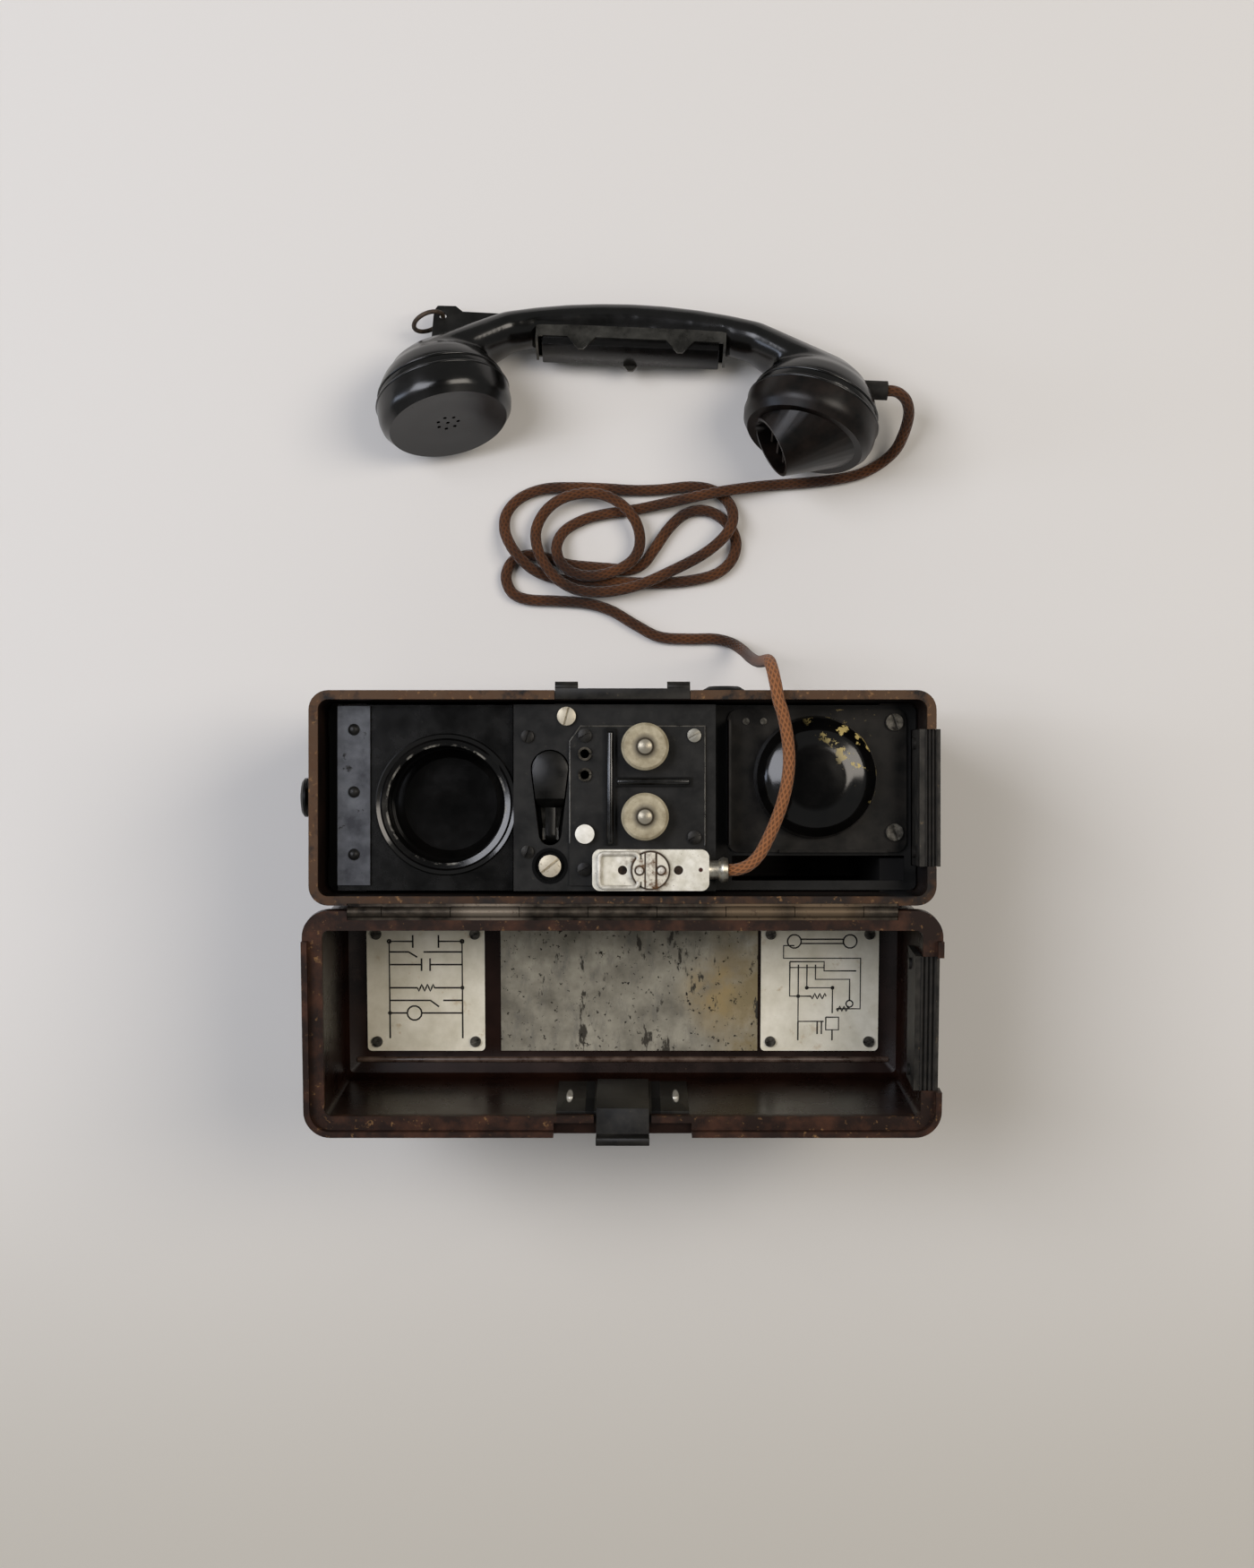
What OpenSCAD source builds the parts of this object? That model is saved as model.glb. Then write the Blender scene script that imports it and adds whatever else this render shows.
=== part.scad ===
// Field telephone in a moulded case, standing open with its handset laid beside it.
// Millimetres. X runs along the case, Y points from the hinge to the latch, Z is up.

/* [Case] */
// Outside width of the case at its rim
case_w = 274; // [264:1:296]
// Outside depth of the case at its rim
case_d = 94; // [92:1:108]
// Height of the case up to its rim
case_h = 140; // [136:1:156]
// Thickness of the case walls
case_wall = 4; // [3:0.25:4.5]
// Thickness of the case floor
case_floor = 4; // [3:0.5:6]
// Radius of the upright corners at the rim
case_corner = 8.5; // [8:0.5:12]
// Rounding of the edges round the underside
case_edge = 5; // [3:0.5:6]
// Slope of the moulded walls in degrees
draft = 1.5; // [1:0.1:1.8]

/* [Lid] */
// Outside height of the lid
lid_h = 72; // [66:1:84]
// Thickness of the lid walls at the rim
lid_wall = 5.5; // [4.5:0.25:6.5]
// Thickness of the lip that reaches down over the case rim
lip_t = 2.6; // [2:0.2:3.4]
// Reach of the lip below the rim
lip_drop = 3.5; // [2.5:0.5:5]
// Rounding along the top of the lid
lid_edge = 8; // [5:0.5:9]

/* [Hinge and latch] */
// Length of the hinge
hinge_len = 240; // [200:4:244]
// Outside diameter of the hinge knuckles
knuckle_d = 4.7; // [4.2:0.1:5.2]
// Diameter of the hinge pin
hinge_pin_d = 2.4; // [1.8:0.1:2.8]
// Height of each hinge leaf
leaf_h = 12; // [9:0.5:16]
// Width of the latch plates
latch_w = 59; // [50:1:66]
// Width of the spring tongue
tongue_w = 23.5; // [18:0.5:28]

/* [Cord ports and strap studs] */
// Length of the rubber cord ports in the rims
port_len = 60; // [48:1:66]
// Depth of the rubber cord ports below the rim
port_h = 22; // [16:1:24]
// Diameter of the strap studs
stud_d = 17.5; // [14:0.5:20]
// Length of the plate under the left strap stud
side_plate_len = 69; // [50:1:74]

/* [Panel] */
// Width of the moulded panel
panel_w = 89; // [86:1:92]
// Depth of the panel face below the rim
panel_drop = 10; // [9:0.5:12]
// Thickness of the terminal plate
plate_t = 1.5; // [1:0.25:2]
// Diameter of the line terminal knobs
terminal_d = 20.8; // [17:0.2:22]
// Distance between the line terminals
terminal_pitch = 30.6; // [28:0.2:32]
// Travel of the line terminal knobs
terminal_travel = 3; // [2:0.25:3.5]
// Diameter of the test button
button_d = 8.4; // [6:0.2:9]
// Bore of the jack sockets
jack_bore = 4; // [3:0.1:4.4]
// Distance between the jack sockets
jack_pitch = 9.2; // [8:0.1:10]

/* [Receiver recess] */
// Diameter of the receiver bowl
bowl_d = 52; // [44:1:54]
// Diameter of the raised ring round the bowl
ring_d = 63; // [60:0.5:64]
// Depth of the receiver bowl
bowl_depth = 26; // [18:1:28]

/* [Crank] */
// Length of the stowed crank grip
crank_len = 41; // [36:0.5:42]
// Width of the crank grip at its broad end
crank_w = 15.8; // [13:0.2:16.4]

/* [Plug] */
// Length of the plug body
plug_len = 51; // [46:0.5:53]
// Width of the plug body
plug_w = 18; // [16:0.5:19]
// Thickness of the plug body
plug_t = 9; // [8.5:0.5:10]
// Diameter of the plug's cord collar
collar_d = 11.4; // [9:0.2:11.8]
// Wire thickness of the plug's bail
bail_wire = 2; // [1.4:0.1:2.2]

/* [Bell] */
// Diameter of the bell gong
gong_d = 55; // [50:0.5:56]
// Height of the bell gong
gong_h = 14; // [11:0.5:15]

/* [Generator] */
// Tooth count of the drive gear
gear_teeth = 60; // [54:1:62]
// Tooth count of the armature pinion
pinion_teeth = 15; // [15:1:18]
// Size of one gear tooth as pitch diameter per tooth
gear_module = 1; // [0.95:0.01:1.05]
// Width of the gear faces
gear_face = 5; // [4:0.5:6]

/* [Dry cell] */
// Width of the dry cell
cell_w = 62; // [50:1:66]
// Depth of the dry cell
cell_d = 62; // [50:1:66]
// Height of the dry cell
cell_h = 76; // [60:1:78]

/* [Handset] */
// Diameter of the ear and mouth caps
cap_d = 64.8; // [60:0.2:67]
// Distance between the cap centres
cap_span = 179; // [172:1:186]
// Lean of each cap towards the other in degrees
cap_lean = 15; // [11:0.5:18]
// Height of a cap from its seam to its face
cap_h = 15; // [13:0.5:16]
// Distance from the cap seams back to the middle of the handle
handle_arch = 46; // [44:0.5:50]
// Width of the handle
handle_w = 25; // [22:0.5:27]
// Thickness of the handle
handle_t = 18; // [16:0.5:20]
// Outside diameter of the horn's mouth
horn_d = 30.4; // [26:0.2:33]
// Travel of the talk bar
talk_travel = 2.5; // [1.5:0.25:3]

/* [Cord] */
// Diameter of the braided cord
cord_d = 5.5; // [4.6:0.1:5.8]

/* [Hidden] */
$fn = 48;

hw = case_w / 2;
hd = case_d / 2;
slope = tan(draft);
eps = 0.02;
function out_x(z) = hw - (case_h - z) * slope;
function out_y(z) = hd - (case_h - z) * slope;
function in_x(z) = out_x(z) - case_wall;
function in_y(z) = out_y(z) - case_wall;

// Levels inside the case
deck_t = 2;
deck_top = case_h - 28;
deck_z = deck_top - deck_t;
panel_top = case_h - panel_drop;
plate_top = panel_top + plate_t;
recv_top = case_h - 15;
bell_top = deck_top + 2;

// Hinge line, and how far the lid lies back when its wall meets the case
hinge_y = -hd - 2.8;
hinge_z = case_h;
lid_gap = 0.3;
lid_back = asin((5.6 + 2 * lid_h * slope - 1) / (lid_h + 1));
lid_open = 180 + lid_back;
pitch = hinge_len / 8;
leaf_t = 1.2;
leaf_y = -hd + 0.9;
function lout_x(z) = hw - (z - case_h) * slope;
function lout_y(z) = hd - (z - case_h) * slope;
function lin_x(z) = lout_x(z) - lid_wall;
function lin_y(z) = lout_y(z) - lid_wall;
lid_top = case_h + lid_h;
lid_in = lid_top - 4;

// Places on the panel
panel_x0 = -48;
panel_x1 = panel_x0 + panel_w;
panel_hd = in_y(deck_top) - 1.2;
term_x = 9.8;
term_y = 7.1;
jack_x = -16.6;
jack_y = 14.7;
button_y = -15.9;
big_a = [-24.7, panel_hd - 5.2];
big_b = [-32, -panel_hd + 11];
crank_x = -32;
crank_y0 = 20.6 - crank_len;
pin_y = crank_y0 + 4.4;
pin_z = panel_top - 9.6;
plug_x0 = panel_x1 - 3.2 - plug_len;
plug_y = -panel_hd + plug_w / 2 + 0.5;
plug_z = plate_top + plug_t / 2;
plug_top = plate_top + plug_t;
hub_x = plug_x0 + 25.4;
bail_x = hub_x - 5.2;
bail_z = plug_top + 1.5;
collar_x = plug_x0 + plug_len;

// Bell, generator and dry cell
gong_x = hw - 51;
bell_x0 = panel_x1 + 6;
bell_x1 = hw - 10;
gong_y = 9;
gen_x = 47;
gen_z = deck_z - 38;
arm_x = gen_x - gear_module * (gear_teeth + pinion_teeth) / 2;
gear_y = 26.5;
seat_y = out_y(gen_z) - 0.8;
cell_x = -in_x(0) + 16.3 + cell_w / 2;
bowl_x = -78;
recv_x0 = -hw + 11;
strip_x1 = bowl_x - ring_d / 2 - 2.1;
bowl_y = -3;

// Handset: seam plane at Y 0, handle towards +Y, lying rolled on its side
roll = 22;
turn = -2.8;
cup_r = cap_d / 2 - 1.4;
set_y = 141.4 + hd;
set_z = max(cup_r * 0.97 * cos(roll) + 8 * sin(roll), handle_arch * sin(roll)
  + sqrt(pow(handle_t / 2 * sin(roll), 2) + pow(handle_w / 2 * cos(roll), 2))) + 1.8;
arch_r = 264;
bar_y = 28;

module rr(w, d, r) {
  square([w - 2 * r, d], center = true);
  square([w, d - 2 * r], center = true);
  for (x = [-1, 1])
    for (y = [-1, 1])
      translate([x * (w / 2 - r), y * (d / 2 - r)])
        circle(r);
}

module slab(w, d, r, z, t = 0.1) {
  translate([0, 0, z])
    linear_extrude(t)
      rr(w, d, r, $fn = 32);
}

module box(x0, x1, y0, y1, z0, z1) {
  translate([x0, y0, z0])
    cube([x1 - x0, y1 - y0, z1 - z0]);
}

// A rod between two heights, along Y or along X
module rod_y(x, z, r, y0, y1) {
  translate([x, y1, z])
    rotate([90, 0, 0])
      cylinder(r = r, h = y1 - y0);
}

module rod_x(y, z, r, x0, x1) {
  translate([x0, y, z])
    rotate([0, 90, 0])
      cylinder(r = r, h = x1 - x0);
}

module rod_z(p, r, z0, z1) {
  translate([p[0], p[1], z0])
    cylinder(r = r, h = z1 - z0);
}

// Round-headed slotted screw with its seat at z
module screw(p, r, z, h, shank, depth, turn = 0) {
  translate([p[0], p[1], z])
    rotate([0, 0, turn])
      difference() {
        union() {
          cylinder(r = r, h = h);
          translate([0, 0, -depth])
            cylinder(r = shank, h = depth + 0.1);
        }
        translate([-r - 1, -r * 0.12, h * 0.5])
          cube([2 * r + 2, r * 0.24, h]);
      }
}

module on_lid() {
  translate([0, hinge_y, hinge_z])
    rotate([lid_open, 0, 0])
      translate([0, -hinge_y, -hinge_z])
        children();
}

module on_set() {
  translate([2.2, set_y, set_z])
    rotate([-roll, 0, 0])
      rotate([0, 0, turn])
        children();
}

// Case

module case_outer() {
  hull() {
    slab(2 * out_x(0) - 2 * case_edge, 2 * out_y(0) - 2 * case_edge, case_corner - case_edge, 0);
    slab(2 * out_x(0) - 0.6 * case_edge, 2 * out_y(0) - 0.6 * case_edge, case_corner - 1, case_edge * 0.3);
    slab(2 * out_x(case_edge), 2 * out_y(case_edge), case_corner, case_edge);
    slab(case_w, case_d, case_corner, case_h - 0.1);
  }
}

module case_cavity() {
  hull() {
    slab(2 * in_x(case_floor), 2 * in_y(case_floor), 3, case_floor);
    slab(2 * in_x(case_h + 1), 2 * in_y(case_h + 1), case_corner - case_wall, case_h + 1);
  }
}

port_x0 = in_x(case_h - port_h - 5);
port_x1 = hw + 0.4;
stud_z_left = case_h - 30;
stud_z_right = case_h - port_h - 23;

module case_body() color("#3a2a20")
  difference() {
    case_outer();
    difference() {
      case_cavity();
      for (x = [-1, 1])
        for (y = [-1, 1])
          translate([x * (in_x(0) - 2), y * (in_y(0) - 2), deck_z / 2])
            cube([24, 20, deck_z], center = true);
      box(big_a[0] - 6, big_a[0] + 6, big_a[1] - 6, hd, 0, deck_z);
      box(big_b[0] - 6, big_b[0] + 6, -hd, big_b[1] + 6, 0, deck_z);
    }
    rod_z(big_a, 2.55, deck_z - 16, case_h);
    rod_z(big_b, 2.55, deck_z - 16, case_h);
    // Seat of the hinge leaf
    box(-hinge_len / 2 - 0.3, hinge_len / 2 + 0.3, -hd - 1, leaf_y, case_h - leaf_h - 0.2, case_h + 1);
    // Seat of the latch keeper
    box(-latch_w / 2 - 0.2, latch_w / 2 + 0.2, hd - 0.8, hd + 1, case_h - 20.2, case_h + 1);
    box(-latch_w / 2 - 0.2, latch_w / 2 + 0.2, 0, hd + 1, case_h - 2.5, case_h + 1);
    // Cord port, strap studs, side plate and crank bush
    box(in_x(0) - 12, hw + 1, -port_len / 2, port_len / 2, case_h - port_h, case_h + 1);
    box(-hw - 1, -out_x(stud_z_left) + 0.9, -side_plate_len / 2 - 0.2, side_plate_len / 2 + 0.2,
      stud_z_left - 20.2, stud_z_left + 20.2);
    rod_x(0, stud_z_right, stud_d / 2 + 0.3, out_x(stud_z_right) - 0.5, hw + 2);
    rod_y(gen_x, gen_z, 11.3, seat_y, hd + 2);
    rod_y(gen_x, gen_z, 7, 0, hd + 2);
  }

module chassis_deck() color("#2b2c2b") {
  clapper_lugs();
  difference() {
    translate([0, 0, deck_z])
      linear_extrude(deck_t)
        rr(2 * in_x(deck_z) - 1.6, 2 * in_y(deck_z) - 1.6, 3);
    rod_z([bowl_x, bowl_y], bowl_d / 2 + 1.5, deck_z - 1, deck_top + 1);
    rod_z(big_a, 2.6, deck_z - 1, deck_top + 1);
    rod_z(big_b, 2.6, deck_z - 1, deck_top + 1);
    rod_z([crank_x, 12], 4, deck_z - 1, deck_top + 1);
    box(port_x0 - 3.1, hw, -port_len / 2 - 0.5, port_len / 2 + 0.5, deck_z - 1, deck_top + 1);
    // Well for the stowed mouthpiece
    box(49, in_x(deck_z) - 6, -in_y(deck_z) + 5, -26, deck_z - 1, deck_top + 1);
    box(gong_x - 4, gong_x + 4, gong_y - 25, gong_y - 15, deck_z - 1, deck_top + 1);
  }
}

// Hinge: knuckles alternate between the two leaves

module knuckles(first) {
  for (k = [first : 2 : 8]) {
    x0 = max(-hinge_len / 2, (k - 4.5) * pitch) + 0.15;
    x1 = min(hinge_len / 2, (k - 3.5) * pitch) - 0.15;
    difference() {
      union() {
        rod_x(hinge_y, hinge_z, knuckle_d / 2, x0, x1);
        box(x0, x1, hinge_y, leaf_y, hinge_z - 1.9, hinge_z - 0.7);
      }
      rod_x(hinge_y, hinge_z, hinge_pin_d / 2 + 0.04, x0 - 1, x1 + 1);
    }
  }
}

module leaf() {
  box(-hinge_len / 2, hinge_len / 2, leaf_y - leaf_t, leaf_y, hinge_z - leaf_h, hinge_z - 0.7);
}

module hinge_leaf_case() color("#8b8372") {
  leaf();
  knuckles(1);
}

module hinge_pin() color("#9a9488")
  rod_x(hinge_y, hinge_z, hinge_pin_d / 2, -hinge_len / 2, hinge_len / 2);

// Latch keeper: a plate on the front wall, folded over the rim, with a window and two rolled eyes

module latch_keeper() color("#4a4642") {
  difference() {
    union() {
      box(-latch_w / 2, latch_w / 2, hd - 0.8, hd + 0.8, case_h - 20, case_h - 0.2);
      box(-latch_w / 2, latch_w / 2, in_y(case_h - 2.5) + 0.2, hd, case_h - 2.5, case_h - 0.2);
      for (x = [-1, 1])
        rod_x(hd + 1.6, case_h - 2.6, 2.2, x * (latch_w / 2 - 5) - 5, x * (latch_w / 2 - 5) + 5);
    }
    box(-tongue_w / 2 - 1, tongue_w / 2 + 1, hd - 0.4, hd + 4, case_h - 16, case_h - 6);
    for (x = [-1, 1])
      rod_x(hd + 1.6, case_h - 2.6, 1, x * (latch_w / 2 - 5) - 6, x * (latch_w / 2 - 5) + 6);
  }
}

// Cord ports: ribbed rubber between two riveted plates, one in each rim

module port_rubber(x0) {
  difference() {
    box(x0, port_x1, -port_len / 2 + 0.1, port_len / 2 - 0.1, case_h - port_h, case_h - 0.4);
    for (k = [0 : 2])
      box(x0 + (port_x1 - x0) * (0.2 + 0.3 * k) - 0.5, x0 + (port_x1 - x0) * (0.2 + 0.3 * k) + 0.5,
        -hd, hd, case_h - 1.6, case_h);
    for (y = [-1, 1])
      rod_x(y * (port_len / 2 - 6), case_h - port_h + 6, 1.5, x0 - 1, hw + 3);
  }
}

module port_clamp(x0) {
  box(x0 - 2.6, x0, -port_len / 2, port_len / 2, case_h - port_h - 5, case_h - 1);
  box(port_x1, port_x1 + 1.4, -port_len / 2, port_len / 2, case_h - port_h - 5, case_h - 0.6);
  for (y = [-1, 1]) {
    rod_x(y * (port_len / 2 - 6), case_h - port_h + 6, 1.48, x0 - 0.5, port_x1 + 0.5);
    rod_x(y * (port_len / 2 - 6), case_h - port_h + 6, 2.6, x0 - 3.8, x0 - 2);
    rod_x(y * (port_len / 2 - 6), case_h - port_h + 6, 2.6, port_x1 + 1, port_x1 + 2.4);
  }
}

module port_rubber_case() color("#35332f")
  port_rubber(port_x0);

module port_clamp_case() color("#4d4b46")
  port_clamp(port_x0);

module stud() {
  rotate_extrude()
    polygon([[0, 0], [stud_d / 2, 0], [stud_d / 2, 0.8], [stud_d * 0.26, 1.4], [stud_d * 0.26, 3.4],
      [stud_d / 2, 3.8], [stud_d / 2, 4.8], [stud_d * 0.42, 5.9], [stud_d * 0.2, 6.6], [0, 6.8]]);
}

module strap_studs() color("#2f2a26") {
  translate([-out_x(stud_z_left) + 0.9 - 2.4, 0, stud_z_left])
    rotate([0, -90, 0])
      stud();
  translate([out_x(stud_z_right) - 0.5, 0, stud_z_right])
    rotate([0, 90, 0])
      stud();
}

module side_plate() color("#2f2b28")
  translate([-out_x(stud_z_left) + 0.9, 0, stud_z_left])
    rotate([0, -90, 0])
      linear_extrude(2.4)
        rr(40, side_plate_len, 4);

module crank_bush() color("#57534c")
  translate([gen_x, seat_y, gen_z])
    rotate([-90, 0, 0])
      difference() {
        rotate_extrude()
          polygon([[0, -5], [6.9, -5], [6.9, 0], [11, 0], [11, 3], [9.5, 5.6], [7, 7], [0, 7]]);
        translate([0, 0, -9])
          cylinder(r = 4.04, h = 30);
      }

// Receiver end of the chassis

module receiver_plate() color("#2a2b2a")
  difference() {
    union() {
      box(recv_x0, panel_x0 - 0.6, -panel_hd, panel_hd, recv_top - 1.6, recv_top);
      box(recv_x0, recv_x0 + 1.6, -panel_hd, panel_hd, deck_top, recv_top - 1);
      box(panel_x0 - 2.2, panel_x0 - 0.6, -panel_hd, panel_hd, deck_top, recv_top - 1);
    }
    rod_z([bowl_x, bowl_y], bowl_d / 2 + 0.9, deck_z - 1, recv_top + 1);
    for (y = [-1 : 1])
      rod_z([(recv_x0 + strip_x1) / 2, bowl_y + 5.5 + 27.6 * y], 1.5, deck_z, case_h);
  }

module receiver_bowl() color("#181818")
  difference() {
    translate([bowl_x, bowl_y, recv_top])
      rotate_extrude()
        polygon([[0, -bowl_depth], [bowl_d / 2 - 5, -bowl_depth], [bowl_d / 2 - 1.2, -bowl_depth + 4],
          [bowl_d / 2, -bowl_depth + 9], [bowl_d / 2, 1], [bowl_d / 2 + 2.4, 1.5], [ring_d / 2 - 2.2, 0.9],
          [ring_d / 2 - 0.6, 1.6], [ring_d / 2, 0], [bowl_d / 2 + 0.8, 0], [bowl_d / 2 + 0.8, -bowl_depth + 9],
          [bowl_d / 2 - 0.4, -bowl_depth + 3.2], [bowl_d / 2 - 4.6, -bowl_depth - 0.8], [0, -bowl_depth - 0.8]]);
    box(panel_x0, panel_x0 + 20, -panel_hd, panel_hd, recv_top - 1, case_h);
  }

module edge_strip() color("#8f8c85")
  difference() {
    box(recv_x0, strip_x1, -panel_hd + 2.4, panel_hd - 0.6, recv_top, recv_top + 1.6);
    for (y = [-1 : 1])
      rod_z([(recv_x0 + strip_x1) / 2, bowl_y + 5.5 + 27.6 * y], 1.5, deck_z, case_h);
  }

module strip_rivets() color("#1c1c1c")
  for (y = [-1 : 1])
    translate([(recv_x0 + strip_x1) / 2, bowl_y + 5.5 + 27.6 * y, recv_top + 1.6])
      rotate_extrude()
        polygon([[0, -4.6], [2.4, -4.6], [2.4, -3.2], [1.48, -3.2], [1.48, 0], [2.6, 0], [2.3, 1], [1.3, 1.7],
          [0, 1.9]]);

// Panel

module teardrop(grow) {
  hull() {
    translate([crank_x, 20.6 - crank_w / 2])
      circle(crank_w / 2 + grow, $fn = 40);
    translate([crank_x, pin_y])
      circle(4.4 + grow, $fn = 40);
  }
}

function term_at(side) = [term_x, term_y + side * terminal_pitch / 2];
function jack_at(side) = [jack_x, jack_y + side * jack_pitch / 2];
pin_at = [[hub_x - 12.2, plug_y], [hub_x + 12.2, plug_y]];
small_at = [[-41.9, 27], [-41.9, -23.8]];
plate_at = [[-16.6, 27.4], [31.5, 27.4], [31.5, -17.4], [-17, -31.5]];

module panel_bores(z0) {
  for (k = [-1, 1]) {
    rod_z(term_at(k), 3.02, z0, case_h);
    rod_z(jack_at(k), jack_bore / 2 + 1.02, z0, case_h);
  }
  for (p = pin_at)
    rod_z(p, 2.04, z0, case_h);
  for (p = plate_at)
    rod_z(p, 1.52, panel_top - 4, case_h);
  rod_z([jack_x, button_y], button_d / 2 + 0.08, z0, case_h);
}

module panel_block() color("#2c2825")
  difference() {
    box(panel_x0, panel_x1, -panel_hd, panel_hd, deck_top, panel_top);
    box(jack_x - button_d / 2 - 1.6, panel_x1 - 3, -panel_hd + 3, panel_hd - 10, deck_top - 1, panel_top - 5);
    translate([0, 0, deck_top - 1])
      linear_extrude(40)
        teardrop(0.6);
    panel_bores(deck_top - 1);
    for (p = small_at)
      rod_z(p, 1.52, panel_top - 6, case_h);
    rod_z(big_a, 2.6, deck_top - 1, case_h);
    rod_z(big_b, 2.6, deck_top - 1, case_h);
    rod_z(big_b, 6.6, panel_top - 2.4, case_h);
  }

module terminal_plate() color("#33302c")
  difference() {
    union() {
      translate([0, 0, panel_top])
        linear_extrude(plate_t)
          polygon([[-23.4, -panel_hd + 2.4], [panel_x1 - 4.6, -panel_hd + 2.4], [panel_x1 - 4.6, panel_hd - 9.4],
            [-18.6, panel_hd - 9.4], [-23.4, panel_hd - 16]]);
      box(-7.5, -3.2, -20.8, panel_hd - 10.4, panel_top, plate_top + 2.2);
      box(-4, panel_x1 - 11, term_y - 2, term_y + 2, panel_top, plate_top + 2.2);
    }
    panel_bores(panel_top - 1);
  }

module panel_screws() color("#d8cba6") {
  for (p = plate_at)
    screw(p, 3, plate_top, 1.6, 1.5, 4, 30);
  for (p = small_at)
    screw(p, 2.8, panel_top, 1.5, 1.5, 4, 70);
  screw(big_a, 4.1, panel_top, 2.2, 2.5, panel_top - deck_z + 14, 75);
  screw(big_b, 4.9, panel_top - 2.4, 3.6, 2.5, panel_top - 2.4 - deck_z + 14, 40);
}

knob_z = plate_top + 2.4 + terminal_travel;

module terminal_posts() color("#b08d4c")
  for (k = [-1, 1]) {
    rod_z(term_at(k), 5, plate_top, plate_top + 2);
    rod_z(term_at(k), 3, panel_top - 7, knob_z + 1.2);
  }

module terminal_knob(k) {
  difference() {
    translate([term_at(k)[0], term_at(k)[1], knob_z])
      rotate_extrude()
        polygon([[0, 0], [terminal_d / 2 - 0.8, 0], [terminal_d / 2, 0.8], [terminal_d / 2, 3.6],
          [terminal_d / 2 - 1.2, 5], [4, 5.2], [3.2, 6.2], [1.6, 6.8], [0, 7]]);
    rod_z(term_at(k), 3.05, knob_z - 1, knob_z + 1.6 + terminal_travel);
  }
}

module terminal_knob_a() color("#d9cfae")
  terminal_knob(1);

module terminal_knob_b() color("#d9cfae")
  terminal_knob(-1);

module jack_sockets() color("#a98c55")
  for (k = [-1, 1])
    difference() {
      rod_z(jack_at(k), jack_bore / 2 + 1, panel_top - 8, plate_top + 1.6);
      rod_z(jack_at(k), jack_bore / 2, panel_top - 9, plate_top + 3);
      translate([jack_at(k)[0], jack_at(k)[1], plate_top + 2])
        cube([20, 0.7, 4], center = true);
    }

module test_button() color("#ece8dc")
  translate([jack_x, button_y, 0]) {
    rod_z([0, 0], button_d / 2, panel_top - 7, plate_top + 4);
    rod_z([0, 0], button_d / 2 + 1.4, panel_top - 7, panel_top - 5.2);
  }

// Crank stowed in its pocket: a steel arm with a square spindle, and a grip folded down on it

module crank_arm() color("#77746c") {
  difference() {
    union() {
      translate([0, 0, deck_top + 0.1])
        linear_extrude(3.6)
          teardrop(-1.2);
      for (x = [-1, 1])
        box(crank_x + x * 2.9 - 0.6, crank_x + x * 2.9 + 0.6, pin_y - 2.6, pin_y + 2.6, deck_top + 1, pin_z + 2.4);
    }
    rod_x(pin_y, pin_z, 0.9, crank_x - 9, crank_x + 9);
  }
  rod_x(pin_y, pin_z, 0.9, crank_x - 3.5, crank_x + 3.5);
  box(crank_x - 2.5, crank_x + 2.5, 9.5, 14.5, deck_z - 12, deck_top + 1);
}

module crank_grip() color("#231f1c")
  difference() {
    intersection() {
      translate([0, 0, deck_top])
        linear_extrude(40)
          teardrop(0);
      union() {
        rod_x(pin_y, pin_z, 4.2, crank_x - 20, crank_x + 20);
        translate([crank_x - 20, 0, 0])
          rotate([90, 0, 90])
            linear_extrude(40)
              polygon([[pin_y, pin_z - 4.2], [21, pin_z - 4.2], [21, panel_top + 0.4], [19, panel_top + 1],
                [pin_y + panel_top - pin_z + 6, panel_top + 1], [pin_y + panel_top - pin_z + 2, pin_z + 4.2],
                [pin_y, pin_z + 4.2]]);
      }
    }
    for (x = [-1, 1])
      translate([crank_x + x * 6.2, pin_y, pin_z])
        cube([8, 2 * (panel_top - pin_z + 2), 24], center = true);
    rod_x(pin_y, pin_z, 0.95, crank_x - 9, crank_x + 9);
  }

// Plug

module plug_body() color("#d6d0bd")
  difference() {
    translate([plug_x0 + plug_len / 2, plug_y, plate_top])
      linear_extrude(plug_t)
        rr(plug_len, plug_w, 3.4);
    for (p = pin_at)
      rod_z(p, 2.02, plate_top - 1, plug_top + 1);
    rod_z(plate_at[3], 3.4, plate_top - 1, plate_top + 2.4);
  }

module plug_hub() color("#cfc8b4")
  difference() {
    union() {
      rod_z([hub_x, plug_y], 8.2, plug_top, plug_top + 2.8);
      for (x = [-4.8, 4.6])
        rod_z([hub_x + x, plug_y], 1.6, plug_top, plug_top + 3.5);
      box(hub_x - 2, hub_x + 2, plug_y - 7.6, plug_y + 7.6, plug_top, plug_top + 3.3);
    }
    rod_y(bail_x, bail_z, bail_wire / 2 + 0.06, plug_y - 9, plug_y - 3.8);
    rod_y(bail_x, bail_z, bail_wire / 2 + 0.06, plug_y + 3.8, plug_y + 9);
    rod_y(bail_x, bail_z, bail_wire / 2 + 0.9, plug_y - 9, plug_y - 4.8);
    rod_y(bail_x, bail_z, bail_wire / 2 + 0.9, plug_y + 4.8, plug_y + 9);
  }

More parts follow.
